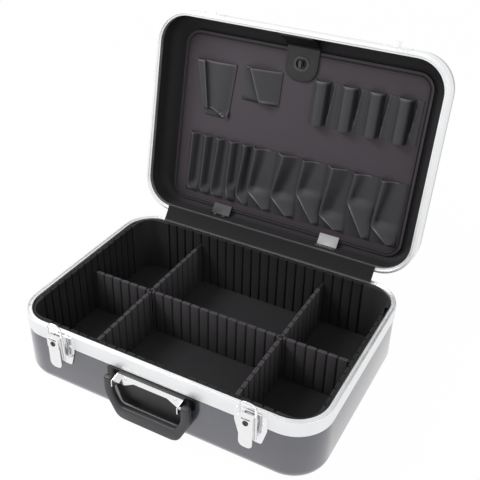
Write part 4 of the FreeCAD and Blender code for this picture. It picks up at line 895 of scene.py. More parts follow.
def shell_section(s, height):
    """One moulded half as an open path from its outer to its inner face."""
    outer = s.shell_inset
    wall = s.shell_wall
    inner = outer + wall
    edge = s.shell_edge
    around = corner_arc(outer + edge, height - edge, edge, 90, 0, 10)
    around += eased_corners([
        (outer, height - edge), (outer, s.frame_height), (s.frame_band, s.frame_height),
        (s.frame_band, s.frame_height * 0.3), (inner, s.frame_height * 0.3),
        (inner, height - edge),
    ], 0.0004, closed=False)[1:-1]
    hollow = edge - wall
    around += corner_arc(inner + hollow, height - edge, hollow, 0, 90, 8)
    return around


def frame_section(s, tongue):
    """The aluminium extrusion: band, rim with a seal groove or tongue, and inner lip."""
    face = s.frame_face
    band = s.frame_band
    lip = face - band
    lip_depth = 0.008
    web = 0.005
    near, far, deep = (0.00275, 0.00475, -0.0016) if tongue else (0.002, 0.0055, 0.0022)
    return eased_corners([
        (0, s.frame_height), (0, 0), (near, 0), (near, deep), (far, deep), (far, 0),
        (face, 0), (face, lip_depth), (lip, lip_depth), (lip, web), (band, web),
        (band, s.frame_height),
    ], s.frame_edge, 3)


def make_halves(s, names, finish, sections, nodes, closed):
    """Sweep one piece of the base and its partner in the lid."""
    rims = ((s.rim, -1, "case_base"), (s.lid_face, 1, "lid"))
    for name, section, node, (rim, up, body) in zip(names, sections, nodes, rims):
        piece = swept_round(name, level_section(section, rim, up), s.width, s.depth,
                            s.corner, closed=closed)
        place_piece(piece, finish, body, [node], open_lid=body == "lid")


def make_shells(s, c):
    sections = (shell_section(s, s.rim), shell_section(s, s.lid_height))
    make_halves(s, ("base_moulding", "lid_moulding"), shell_finish(c), sections,
                ("base_shell", "lid_shell"), False)


def make_frames(s, c):
    sections = (frame_section(s, False), frame_section(s, True))
    make_halves(s, ("base_rim", "lid_rim"), aluminium_finish(c), sections,
                ("base_frame", "lid_frame"), True)


def rib_places(s, reach):
    """Middles of the ribs on one straight stretch."""
    count = int(reach / s.rib_pitch)
    return [(step + 0.5) * s.rib_pitch for step in range(-count, count)]


def paint_tops(ribs, mask_name, share, level):
    """Paint the points of upright ribs that lie above a level."""
    paint_mask(ribs, mask_name, [share if vert.co.z > level else 0.0
                                 for vert in ribs.data.vertices])


def make_liner(s, c):
    """A foam ring: a back, four solid corners, and a rib between each pair of grooves."""
    finish = foam_finish(c)
    gap = s.soft_gap
    half_x = s.width / 2 - s.frame_face - gap
    half_y = s.depth / 2 - s.frame_face - gap
    depth = s.rib_gap
    back = s.liner_wall - depth
    top = s.rim - 0.002
    foam_edge = 0.0008
    corner = s.corner - s.frame_face - gap
    section = eased_corners([(0, top), (back, top), (back, s.liner_foot), (0, s.liner_foot)],
                            foam_edge)
    ring = swept_round("liner_back", section, 2 * half_x, 2 * half_y, corner)
    crest_x = half_x - s.liner_wall
    crest_y = half_y - s.liner_wall
    pad = s.liner_corner + s.rib_gap
    end_x, end_y = (int((crest - pad) / s.rib_pitch) * s.rib_pitch + s.rib_gap / 2
                    for crest in (crest_x, crest_y))
    height = top - s.liner_foot
    radius = s.liner_corner
    parts = [ring]
    inner = arc_spots((crest_x - radius, crest_y - radius), radius, 0, 90, 14)
    outer = arc_spots((half_x - corner, half_y - corner), corner - back * 0.5, 90, 0, 14)
    loop = [Vector((crest_x, end_y)), *inner, Vector((end_x, crest_y)),
            Vector((end_x, half_y - back * 0.5)), *outer,
            Vector((half_x - back * 0.5, end_y))]
    for right in (1, -1):
        for rear in (1, -1):
            spots = [(right * spot.x, rear * spot.y) for spot in loop]
            if right * rear < 0:
                spots.reverse()
            middle = Matrix.Translation((0, 0, s.liner_foot + height / 2))
            parts.append(cut_plate("liner_corner", [spots], height, foam_edge, middle))
    places = []
    facing = []
    deep = depth + back * 0.5
    for across in rib_places(s, crest_x - pad):
        for side in (-1, 1):
            places.append((across, side * (crest_y + deep / 2), s.liner_foot))
            facing.append(0.0)
    for along in rib_places(s, crest_y - pad):
        for side in (-1, 1):
            places.append((side * (crest_x + deep / 2), along, s.liner_foot))
            facing.append(RIGHT_ANGLE)
    ribs = grown_by_nodes("liner_ribs", rib_tree(), places, attributes={
        "facing": facing, "share": [1.0] * len(places),
    }, Width=s.rib_pitch - s.rib_line, Depth=deep, Height=height, Edge=0.0012,
        Material=finish)
    # Painted shade: the hollow mask darkens the ribs' tops along the liner's upper edge.
    paint_tops(ribs, "hollow", 0.9, top - 0.0006)
    liner = joined_pieces("ribbed_liner", parts)
    place_piece(liner, finish, "case_base", ["base_liner"])
    place_piece(ribs, finish, "case_base", ())


def make_floor(s, c):
    """The foam floor, its upper edge rounded over."""
    inset = s.frame_face + s.liner_wall + 2 * s.soft_gap
    low = s.shell_wall
    top = s.floor_top - 0.0002
    eased = 0.002
    chamfer = 0.0035
    section = [(chamfer, low), (0, low + chamfer)]
    section += corner_arc(eased, top - eased, eased, 0, 90, 5)
    pad = swept_round("foam_floor", section, s.width - 2 * inset, s.depth - 2 * inset,
                      s.liner_corner, closed=False)
    place_piece(pad, floor_foam_finish(c), "case_base", ["base_floor_pad"])


def make_divider(s, finish, name, node, half, along_x, place, notches):
    """A foam board with ribs on both faces and half-depth slots where boards cross.

    The board along X is slotted from above, the boards across it from below.
    """
    rib_rise = 0.0012
    rib_depth = 0.002
    rib_line = 0.0026
    rib_edge = 0.0009
    board_edge = 0.0011
    rib_sink = 0.0002
    foot_gap = 0.0008
    low = s.floor_top
    high = low + s.divider_height
    core = s.divider_thickness - 2 * rib_rise
    reach = half + s.rib_gap - 2 * s.soft_gap
    slot = s.divider_thickness / 2 + s.soft_gap
    middle = (low + high) / 2
    outline = [(-reach, low), (reach, low), (reach, high), (-reach, high)]
    after, first, rim = (3, 1, high) if along_x else (1, -1, low)
    steps = ((first, rim), (first, middle), (-first, middle), (-first, rim))
    outline[after:after] = [(notch + side * slot, level)
                            for notch in sorted(notches, reverse=along_x)
                            for side, level in steps]
    swing = Matrix.Identity(4) if along_x else Matrix.Rotation(RIGHT_ANGLE, 4, "Z")
    offset = Matrix.Translation((0, 0, 0) if along_x else (place, 0, 0))
    board = cut_plate(name, [outline], core, board_edge, offset @ swing @ UPRIGHT)
    width = s.rib_pitch - rib_line
    count = int((half - s.rib_pitch / 2) / s.rib_pitch)
    spots = []
    shares = []
    for step in range(-count, count + 1):
        centre = step * s.rib_pitch
        crossed = min(abs(centre - notch) for notch in notches) < s.rib_pitch / 2
        if crossed:
            thin = (width / 2 - slot) * 0.94
            parts = [(centre - width / 2 + thin / 2, thin / width),
                     (centre + width / 2 - thin / 2, thin / width)]
        else:
            parts = [(centre, 1.0)]
        for across, share in parts:
            for side in (-1, 1):
                spots.append((across, side * (core / 2 + rib_sink), low + foot_gap))
                shares.append(share)
    if not along_x:
        spots = [(place + spot[1], spot[0], spot[2]) for spot in spots]
    facing = [0.0 if along_x else RIGHT_ANGLE] * len(spots)
    ribs = grown_by_nodes(name + "_ribs", rib_tree(), spots, attributes={
        "facing": facing, "share": shares,
    }, Width=width, Depth=rib_depth, Height=s.divider_height - foot_gap, Edge=rib_edge,
        Material=finish)
    # Painted highlight: the crease mask lightens the ribs' tops, where light from above falls.
    paint_tops(ribs, "crease", 0.8, high - 0.0005)
    for piece, nodes in ((board, [node]), (ribs, ())):
        place_piece(piece, finish, "case_base", nodes)


def make_dividers(s, c):
    finish = foam_finish(c)
    half_x = s.width / 2 - s.frame_face - s.soft_gap - s.liner_wall
    half_y = s.depth / 2 - s.frame_face - s.soft_gap - s.liner_wall
    spot = s.divider_place
    make_divider(s, finish, "long_board", "long_divider", half_x, True, 0, (-spot, spot))
    for side, place in (("left", -spot), ("right", spot)):
        make_divider(s, finish, f"{side}_cross_board", f"{side}_cross_divider", half_y,
                     False, place, (0,))


# Hinges, flap and lining

def rivets_on(name, node, finish, outward, radius=0.0024,
              height=0.0011):
    """Domed heads where the solids of a CAD rivet group have their heads."""
    source = frame["nodes"][node].data
    work = bmesh.new()
    work.from_mesh(source)
    bmesh.ops.remove_doubles(work, verts=work.verts, dist=CAD_MERGE)
    seen = set()
    middles = []
    for first in work.verts:
        if first in seen:
            continue
        island = {first}
        edge = [first]
        while edge:
            vert = edge.pop()
            for link in vert.link_edges:
                other = link.other_vert(vert)
                if other not in island:
                    island.add(other)
                    edge.append(other)
        seen |= island
        away = Vector(outward)
        far = max(vert.co.dot(away) for vert in island)
        face = [vert.co for vert in island if far - vert.co.dot(away) < 1e-5]
        top = sum(face, Vector()) / len(face)
        middles.append(top - away * (height * 0.92))
    work.free()
    heads = grown_by_nodes(name, rivet_tree(), middles, Radius=radius, Height=height,
                           Outward=tuple(outward), Material=finish)
    return place_piece(heads, finish, NODE_BODY[node], [node])


def lid_direction(closed):
    return (LID_OPENED.to_3x3() @ Vector(closed)).normalized()


def make_hinges(s, c):
    finish = chrome_finish(c)
    for side in ("left", "right"):
        for half, place in (("base", "lower"), ("lid", "upper")):
            soften_node(f"{side}_hinge_{half}_leaf", finish, s.metal_edge,
                        f"{side}_{place}_leaf")
    soften_node("hinge_pins", finish, s.metal_edge, "hinge_rods")
    rivets_on("lower_leaf_rivets", "base_hinge_rivets", finish, Vector((0, 1, 0)))
    rivets_on("upper_leaf_rivets", "lid_hinge_rivets", finish, lid_direction((0, 1, 0)))


def make_flap(c):
    """A flexible strip between the rims, with a bead along each edge."""
    low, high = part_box("hinge_flap")
    finish = rubber_finish(c)
    margin = 0.0004
    bead_reach = 0.0016
    bead_rise = 0.00055
    sag_depth = 0.0009
    highlight_band = 0.0013
    start = Vector((low.y + margin, low.z + margin))
    end = Vector((high.y - margin, high.z - margin))
    along = (end - start).normalized()
    across = Vector((-along.y, along.x))
    span = (end - start).length
    half = 0.0005
    upper = []
    lower = []
    steps = 22
    for step in range(steps + 1):
        share = step / steps
        bead = max(0.0, 1 - min(share, 1 - share) * span / bead_reach)
        sag = -sag_depth * math.sin(math.pi * share)
        middle = start + along * span * share + across * sag
        thick = half + bead_rise * math.sqrt(bead)
        upper.append(middle + across * thick)
        lower.append(middle - across * thick)
    section = lower + list(reversed(upper))
    strip = swept_across("flexible_flap", [tuple(spot) for spot in section],
                         low.x, high.x, 60)
    # A painted highlight along both beaded edges, on the crease mask.
    values = []
    for vert in strip.data.vertices:
        share = (Vector((vert.co.y, vert.co.z)) - start).dot(along) / span
        values.append(0.75 if min(share, 1 - share) * span < highlight_band else 0.0)
    paint_mask(strip, "crease", values)
    place_piece(strip, finish, None, ["hinge_flap"], mend=False)
    middle = (low.x + high.x) / 2
    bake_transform(strip)


def make_lining(s, c):
    """Cloth glued into the lid's shell."""
    gap = s.soft_gap
    wall = 0.0012
    outer = s.shell_inset + s.shell_wall + gap
    far = s.lid_face + s.lid_height - s.shell_wall - gap
    edge = s.shell_edge - s.shell_wall - gap
    low = s.lid_face + 0.009
    hem = low + 0.0003
    section = corner_arc(outer + edge, far - edge, edge, 90, 0, 8)
    section += [(outer, hem), (outer + wall * 0.5, low), (outer + wall, hem)]
    section += corner_arc(outer + edge, far - edge, edge - wall, 0, 90, 8)
    tub = swept_round("lid_cloth", section, s.width, s.depth, s.corner, closed=False)
    place_piece(tub, lining_finish(c), "lid", ["lid_lining"], open_lid=True)


# Latches

def make_latches(s, c):
    """Plates, levers, locks, bails and keepers of the two draw latches."""
    chrome = chrome_finish(c)
    for side in ("left", "right"):
        for node, name, edge, finish in (
            ("latch_plate", "plate", s.metal_edge, chrome),
            ("latch_lever", "lever", 0.0006, chrome),
            ("lock_plug", "plug", 0.0003, dark_steel_finish(c)),
            ("lock_cam", "cam", 0.0002, chrome), ("bail", "wire_bail", 0.0002, chrome),
            ("keeper", "hook_keeper", s.metal_edge, chrome),
        ):
            soften_node(f"{side}_{node}", finish, edge, f"{side}_{name}")
    soften_node("latch_pivot_pins", chrome, s.metal_edge, "latch_pins")
    forward = Vector((0, -1, 0))
    rivets_on("plate_rivets", "latch_plate_rivets", chrome, forward)
    rivets_on("hook_rivets", "keeper_rivets", chrome, lid_direction((0, -1, 0)))


def make_handle(s, c):
    """The carrying handle, its dark mount plate and the bracket that it hangs from."""
    enamel = enamel_finish(c)
    chrome = chrome_finish(c)
    soften_node("handle_mount_plate", enamel, 0.0007, "mount_plate")
    soften_node("handle_bracket", chrome, s.metal_edge, "bracket")
    soften_node("handle_pivot_pins", chrome, s.metal_edge, "grip_pins")
    rivets_on("bracket_rivets", "handle_bracket_rivets", chrome, Vector((0, -1, 0)))
    low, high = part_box("carry_handle")
    inner = high.x - s.handle_arm
    bar = low.z + s.handle_bar
    foot = s.handle_foot / 2
    gap = s.handle_gap_foot / 2
    corners = [
        (low.x, high.z), (low.x, s.handle_shoulder), (-foot, low.z), (foot, low.z),
        (high.x, s.handle_shoulder), (high.x, high.z), (inner, high.z),
        (inner, s.handle_gap_shoulder), (gap, bar), (-gap, bar),
        (-inner, s.handle_gap_shoulder), (-inner, high.z),
    ]
    radii = [0.004, 0.012, 0.011, 0.011, 0.012, 0.004, 0.003, 0.008, 0.006, 0.006, 0.008,
             0.003]
    outline = eased_corners(corners, radii, 10)
    depth = high.y - low.y
    place = Matrix.Translation((0, (low.y + high.y) / 2, 0)) @ UPRIGHT
    grip = cut_plate("grip", [outline], depth, 0.0028, place)
    place_piece(grip, grip_finish(c), "handle", ["carry_handle"])


# The tool panel

def make_panel(s, c):
    """The tool panel's board, its cloth face, the piping and a stitched line."""
    middle = (s.panel_rear - s.panel_front) / 2
    depth = s.panel_rear + s.panel_front
    soften_node("panel_board", board_finish(c), 0.0003, "tool_board")
    outline = [(spot.x, spot.y + middle)
               for spot in rounded_outline(s.panel_width, depth, s.panel_corner)]
    place = Matrix.Translation((0, 0, s.panel_face + s.facing / 2))
    face = cut_plate("panel_cloth_face", [outline], s.facing, 0.00015, place)
    place_piece(face, panel_finish(c), "lid", ["panel_facing"], open_lid=True)
    bead_radius = 0.0012
    bead_inset = 0.0052
    bead = [(bead_inset - spot.x, s.panel_face - spot.y)
            for spot in arc_spots((0, 0), bead_radius, 0, 180, 8)]
    piping = swept_round("panel_bead", bead, s.panel_width, depth, s.panel_corner,
                         middle=middle)
    place_piece(piping, thread_finish(c), "lid", ["panel_piping"],
                open_lid=True)
    inset = 0.0088
    seam = rounded_outline(s.panel_width - 2 * inset, depth - 2 * inset,
                           s.panel_corner - inset)
    points = [LID_OPENED @ Vector((spot.x, spot.y + middle, s.panel_face)) for spot in seam]
    sew("panel_seam", points, path_edges(len(points), closed=True), s, c)


def sew(name, points, edges, s, c, body="lid"):
    """A row of stitches along paths given in the opened lid's place."""
    finish = thread_finish(c)
    row = grown_by_nodes(name, stitch_tree(), points, edges, Pitch=s.stitch_pitch,
                         Length=s.stitch, Thread=s.thread, Material=finish)
    return place_piece(row, finish, body, mend=False)


def make_clips(s, c):
    """Two like clips in two copies of one steel; the left one is painted darker as a painted dark reflection,
    because it looks darker in the photograph.
    """
    # Both finishes are one steel; the left clip's darker copy is a painted dark reflection and the right one a
    # lighter copy.
    dull = satin_finish(c, "Steel with painted dark reflection", 0.045)
    satin = satin_finish(c, "Satin steel", 0.27)
    for side, finish in (("left", dull), ("right", satin)):
        soften_node(f"{side}_panel_clip", finish, s.metal_edge, f"{side}_clip")
    rivets_on("clip_rivets", "panel_clip_rivets", satin, lid_direction((0, -1, 0)))


def make_strap(s, c):
    """Webbing in two lengths with a stitched edge, an eyelet and the turn button."""
    finish = strap_finish(c)
    half = s.strap_thickness / 2
    over_panel = 0.0015
    rise = 0.008
    bend_run = 0.0024
    dark_reach = 0.005
    seam_inset = 0.003
    seam_start = 0.008
    level = s.panel_face - over_panel - half
    lip = -(s.depth / 2 - s.frame_face)
    foot = s.lid_face + s.soft_gap
    line = eased_corners([
        (lip + half, foot), (lip + half, foot + rise),
        (-s.strap_bend - bend_run, level), (-s.strap_bend - half - s.soft_gap, level),
    ], 0.004, 6, closed=False)
    sides = ([], [])
    for index, spot in enumerate(line):
        before = line[max(0, index - 1)]
        after = line[min(len(line) - 1, index + 1)]
        along = (after - before).normalized()
        across = Vector((-along.y, along.x)) * half
        sides[0].append(spot + across)
        sides[1].append(spot - across)
    section = [tuple(spot) for spot in sides[0] + list(reversed(sides[1]))]
    width = s.strap_width / 2
    webbing = swept_across("strap_root", section, -width, width, 8)
    # Painted shade: the hollow mask darkens the root from a few millimetres past the rim down to the fold.
    paint_mask(webbing, "hollow", [0.9 if vert.co.y > lip + dark_reach else 0.0
                                   for vert in webbing.data.vertices])
    place_piece(webbing, finish, "lid", ["strap_foot"], open_lid=True)
    rivets_on("strap_studs", "strap_rivets", chrome_finish(c), lid_direction((0, 1, 0)))
    fold = -s.strap_bend - half
    tip = -s.strap_tongue
    outline = eased_corners([(-width, fold), (width, fold), (width, tip), (-width, tip)],
                            [0.001, 0.001, 0.025, 0.025], 12)
    hole = [(spot.x, spot.y - s.lock_place)
            for spot in rounded_outline(s.eye_width, s.eye_height, s.eye_height / 2.05)]
    place = Matrix.Translation((0, 0, level))
    tongue = cut_plate("strap_tongue", [outline, hole], s.strap_thickness, 0.0007, place)
    place_piece(tongue, finish, "strap", ["panel_strap"], open_lid=True)
    side = width - seam_inset
    start = fold + seam_start
    end = tip - seam_inset
    seam = eased_corners([(-side, start), (-side, end), (side, end), (side, start)],
                         [0.001, 0.022, 0.022, 0.001], 12, closed=False)
    face = level - half
    points = [LID_OPENED @ Vector((spot.x, spot.y, face)) for spot in seam]
    sew("strap_seam", points, path_edges(len(points)), s, c, "strap")
    steel = dark_steel_finish(c)
    soften_node("strap_eyelet", steel, 0.0004, "eyelet")
    soften_node("turn_lock_base", enamel_finish(c), 0.0004, "lock_base")
    soften_node("turn_knob", steel, 0.0011, "lock_knob")


# Pockets: a front of cloth whose height over the panel comes from one formula

def smooth_share(value):
    value = max(0.0, min(1.0, value))
    return value * value * (3 - 2 * value)


def mixed(first, second, share):
    return first + (second - first) * share


def fade_from(v, tip):
    """How far a row lies from the fold's tip to the pocket's foot."""
    return max(0.0, (v - tip) / max(1e-6, 1 - tip))


def rise_at(v, spec, hem, drop):
    """Height of a pocket's front, brought down to the panel below its hem line."""
    fall = smooth_share((v - hem) / (1 - hem))
    return mixed(spec["rise"], spec["foot_rise"], v) * (1 - drop * fall)


LEFT_STEPS = (0.0, 0.12, 0.26, 0.42, 0.58, 0.74, 0.88, 1.0)
RIGHT_STEPS = (0.0, 0.05, 0.12, 0.2, 0.28, 0.36, 0.44, 0.54, 0.64, 0.74, 0.84, 0.93, 1.0)


def folded_cell(v, spec):
    """One row of a folded pocket: places across it, heights and painted light.

    Painted light is above zero where a highlight is painted on an edge and below it where shade is painted in a
    hollow.
    """
    tip = spec["tip_v"]
    turn_band = 0.05
    lip_width = 0.0009
    below = smooth_share((v - tip) / turn_band)
    if v < tip:
        ridge = mixed(spec["ridge"], spec["tip_u"], smooth_share(v / tip) * 0.6 + v / tip * 0.4)
    else:
        ridge = mixed(spec["tip_u"], spec["end_u"], fade_from(v, tip))
    lip = min(lip_width / spec["width"], ridge * 0.3)
    rise = rise_at(v, spec, 0.955, 0.9)
    reach = spec["slope"] * (1 - spec["narrows"] * min(1.0, v / tip))
    row = []
    for q in LEFT_STEPS:
        above = rise * mixed(q, math.sin(q * math.pi / 2), spec["swell"])
        under = rise * (0.10 + 0.38 * q) * (1 - fade_from(v, tip) ** 2)
        shade = -0.5 if q == 0.0 else -0.7 * below * q
        row.append((q * (ridge - lip), mixed(above, under, below), shade))
    row.append((ridge - lip * 0.45, rise * mixed(1.0, 0.86, below), 0.5 * below))
    for t in RIGHT_STEPS:
        u = ridge + (1 - ridge) * t
        steep = spec["drop"]
        above = rise * (steep * (1 - smooth_share(t / reach)) + (1 - steep) * (1 - t))
        under = rise * (1 - t) ** 0.8
        soft = smooth_share((v - tip + 0.10) / 0.14)
        shine = -0.95 * (1 - soft) * (1 - smooth_share((t / reach - 0.45) / 0.9))
        if t == 0.0:
            shine = mixed(0.12, 1.0, below)
        elif t == RIGHT_STEPS[1]:
            shine = below * spec["shine"] * max(0.0, 1 - fade_from(v, tip) * 1.6)
        elif t > 0.9:
            shine = -0.6
        row.append((u, mixed(above, under, soft), shine))
    return row


def bulged_cell(v, spec):
    """One row of a tube loop: flat wings, a round swell and a slanting crease."""
    row = []
    centre = spec["ridge"]
    reach = spec["reach"]
    crease = mixed(0.84, 0.70, v)
    crease_width = 0.05
    crease_rise = 0.0016
    steps = 28
    for step in range(steps + 1):
        u = step / steps
        away = abs(u - centre) / reach
        height = spec["rise"] * math.sqrt(max(0.0, 1 - away ** 2.3)) if away < 1 else 0.0
        fold = max(0.0, 1 - abs(u - crease) / crease_width)
        height = max(height, crease_rise * fold)
        away = (u - centre) / reach
        # Painted shade beside the swell, and a painted highlight along the crease.
        shade = -0.7 if 0.72 < away < 1.25 else -0.3 if -1.3 < away < -0.9 else 0.0
        row.append((u, height, 0.25 * fold if fold > 0.5 else shade))
    return row


def box_cell(v, spec):
    """One row of a pocket with a gusset at its left."""
    row = []
    ridge = mixed(spec["ridge"], spec["end_u"], v)
    rise = rise_at(v, spec, 0.94, 0.93)
    left_margin = 0.012
    top_width = 0.014
    underside = smooth_share((v - 0.84) / 0.08)
    mouth = smooth_share(1 - v / 0.1)
    for step in range(11):
        q = step / 10
        # Painted shade under the pocket and inside its mouth.
        shade = -0.9 * max(underside, mouth * q) - 0.2 * (1 - underside) * q
        row.append((q * (ridge - left_margin), rise * (0.02 + 0.5 * q + 0.3 * q ** 3), shade))
    row.append((ridge, rise, 0.75))
    row.append((ridge + top_width, rise * 0.995, 0.1))
    for step in range(1, 13):
        t = step / 12
        # A painted highlight along the pocket's lower edge.
        edge_highlight = 0.5 * max(0.0, 1 - abs(v - 0.9) / 0.04) * (1 - t)
        row.append((mixed(ridge + top_width, 1.0, t), rise * (1 - t) ** 0.85, edge_highlight))
    return row


def gusset_cell(v, spec):
    """One row of the deep pocket: a narrow gusset, a step and a sloping front."""
    rise = rise_at(v, spec, 0.95, 0.9)
    tip = spec["tip_v"]
    below = smooth_share((v - tip) / 0.06)
    # Each knot: place across, share of the rise, and painted light, a highlight above zero and shade below it.
    knots = [
        (0.0, 0.0, 0.0), (0.02, 0.55, 0.0), (0.05, 0.86, 0.1), (0.12, 0.97, 0.0),
        (0.20, 1.0, 0.0), (0.245, 0.98, 0.15), (0.26, 0.60, -0.9), (0.30, 0.56, -0.7),
        (0.42, 0.60, -0.15), (0.56, 0.56, 0.0), (0.70, 0.46, 0.0), (0.82, 0.32, 0.0),
        (0.92, 0.16, 0.0), (0.98, 0.03, 0.1), (1.0, 0.0, 0.0),
    ]
    fold = mixed(spec["tip_u"], spec["end_u"], fade_from(v, tip))
    row = []
    for u, share, shine in knots:
        height = rise * share
        if v > tip:
            near = max(0.0, 1 - abs(u - fold) / 0.09)
            height = mixed(height, rise * (0.25 + 0.75 * near), below)
            shine = max(shine, near * 0.9)
        row.append((u, height, shine))
    return row


CLOTH_SINK = 0.0002


def cloth_row(name, cells, rows, s):
    """Sew the cells of one row into a single front of cloth with a real thickness."""
    outer = []
    painted_light = []
    raised = 0.0015
    mouth_shine = 0.42
    for step in range(rows + 1):
        v = step / rows
        for maker, spec in cells:
            left = mixed(spec["left"], spec.get("foot_left", spec["left"]), v)
            right = mixed(spec["right"], spec.get("foot_right", spec["right"]), v)
            y = mixed(spec["top"], spec["foot"], v)
            for u, height, shine in maker(v, spec):
                if step == 0 and height > raised:
                    shine = max(shine, mouth_shine)
                outer.append(Vector((mixed(left, right, u), y, height)))
                painted_light.append(shine)
    count = len(outer) // (rows + 1)
    under = s.panel_face - CLOTH_SINK
    points = []
    for spot in outer:
        points.append(LID_OPENED @ Vector((spot.x, spot.y, under - s.cloth - spot.z)))
    for spot in outer:
        points.append(LID_OPENED @ Vector((spot.x, spot.y, under - spot.z)))
    faces = []
    shift = len(outer)
    for row in range(rows):
        for index in range(count - 1):
            a = row * count + index
            b, d, e = a + 1, a + count, a + count + 1
            faces.append((a, b, e, d))
            faces.append((a + shift, d + shift, e + shift, b + shift))
    rim = list(range(count))
    rim += [row * count + count - 1 for row in range(1, rows + 1)]
    rim += [rows * count + index for index in range(count - 2, -1, -1)]
    rim += [row * count for row in range(rows - 1, 0, -1)]
    for index, first in enumerate(rim):
        after = rim[(index + 1) % len(rim)]
        faces.append((first, first + shift, after + shift, after))
    piece = mesh_piece(name, points, faces)
    # Values above zero become the crease mask, a painted highlight; values below it become the hollow mask,
    # painted shade.
    for mask_name, sign in (("crease", 1), ("hollow", -1)):
        paint_mask(piece, mask_name, [max(0.0, sign * share) for share in painted_light + painted_light])
    width = sum((outer[row * count + index + 1] - outer[row * count + index]).length
                for row in range(rows + 1) for index in range(count - 1)) / (rows + 1)
    length = sum((outer[row * count + index + count] - outer[row * count + index]).length
                 for row in range(rows) for index in range(count)) / count
    return piece, (width, length)


def finish_pockets(name, cells, rows, node, s, c):
    piece, flat = cloth_row(name, cells, rows, s)
    place_piece(piece, pocket_finish(c), "lid", [node])
    points = []
    counts = []
    level = s.panel_face - CLOTH_SINK - s.cloth
    side_inset = 0.0012
    end_inset = 0.002
    spots = 9
    for index, (_, spec) in enumerate(cells):
        sides = [("left", "foot_left", side_inset)]
        if index == len(cells) - 1 or spec.get("apart"):
            sides.append(("right", "foot_right", -side_inset))
        for side, foot, inward in sides:
            start = spec[side] + inward
            end = spec.get(foot, spec[side]) + inward
            for step in range(spots):
                share = step / (spots - 1)
                y = mixed(spec["top"] + end_inset, spec["foot"] - end_inset, share)
                points.append(LID_OPENED @ Vector((mixed(start, end, share), y, level)))
            counts.append(spots)
    sew(name + "_seams", points, path_edges(*counts), s, c)
    return piece


def folded_row(folds, start, width, shape):
    """Cells of a row of folded pockets of one width, from its left edge on."""
    cells = []
    for index, (ridge, slope, tip_u, tip_v, end_u, shine) in enumerate(folds):
        left = start + width * index
        cells.append((folded_cell, {
            **shape, "left": left, "right": left + width, "top": 0.030, "foot": 0.130,
            "width": width, "ridge": ridge, "slope": slope, "tip_u": tip_u,
            "tip_v": tip_v, "end_u": end_u, "shine": shine, "swell": 0.3,
        }))
    return cells


def make_pockets(s, c):
    """Two large pockets, four tube loops and eleven flat pockets."""
    # Each pocket: ridge and slope at its mouth, then the fold's tip, its foot and its shine
    narrow = (
        (0.40, 0.75, 0.30, 0.90, 0.62, 0.9), (0.42, 0.75, 0.34, 0.90, 0.66, 0.9),
        (0.40, 0.75, 0.20, 0.91, 0.60, 0.9), (0.42, 0.75, 0.36, 0.76, 0.52, 0.9),
        (0.44, 0.75, 0.16, 0.84, 0.92, 0.9),
    )
    wide = (
        (0.20, 0.44, 0.06, 0.72, 0.93, 0.9), (0.32, 0.80, 0.03, 0.70, 0.85, 0.5),
        (0.16, 0.50, 0.03, 0.54, 0.90, 0.25), (0.27, 0.85, 0.05, 0.78, 0.86, 1.0),
        (0.15, 0.45, 0.03, 0.47, 0.84, 0.2), (0.17, 0.50, 0.03, 0.73, 0.84, 0.8),
    )
    finish_pockets("slim_pockets", folded_row(narrow, -0.17575, 0.0235, {
        "rise": 0.0105, "foot_rise": 0.0085, "drop": 0.9, "narrows": 0.2,
    }), 34, "narrow_pockets", s, c)
    finish_pockets("broad_pockets", folded_row(wide, -0.060, 0.042, {
        "rise": 0.0125, "foot_rise": 0.0095, "drop": 0.72, "narrows": 0.65,
    }), 40, "wide_pockets", s, c)
    cells = []
    loop_width = 0.042
    for index in range(4):
        left = 0.022 + loop_width * index
        cells.append((bulged_cell, {
            "left": left, "right": left + loop_width, "top": -0.092, "foot": -0.027,
            "ridge": 0.40 + 0.02 * (index % 2), "reach": 0.27, "rise": 0.0148,
        }))
    finish_pockets("loops", cells, 16, "tube_loops", s, c)
    finish_pockets("deep_pocket", [(gusset_cell, {
        "left": -0.173, "right": -0.106, "foot_left": -0.152, "foot_right": -0.112,
        "top": -0.088, "foot": -0.002, "rise": 0.0138, "foot_rise": 0.011,
        "tip_v": 0.84, "tip_u": 0.34, "end_u": 0.95, "apart": True,
    })], 26, "large_pocket", s, c)
    finish_pockets("boxed_pocket", [(box_cell, {
        "left": -0.092, "right": -0.028, "top": -0.091, "foot": -0.0386,
        "ridge": 0.28, "end_u": 0.60, "rise": 0.0185, "foot_rise": 0.014, "apart": True,
    })], 20, "box_pocket", s, c)


# Studio

def seen_or_mirrored(tree):
    """One where a ray comes from the camera or from a shiny face."""
    path = add_node(tree, "ShaderNodeLightPath")
    return maths(tree, "MAXIMUM", path.outputs["Is Camera Ray"],
                 path.outputs["Is Glossy Ray"])


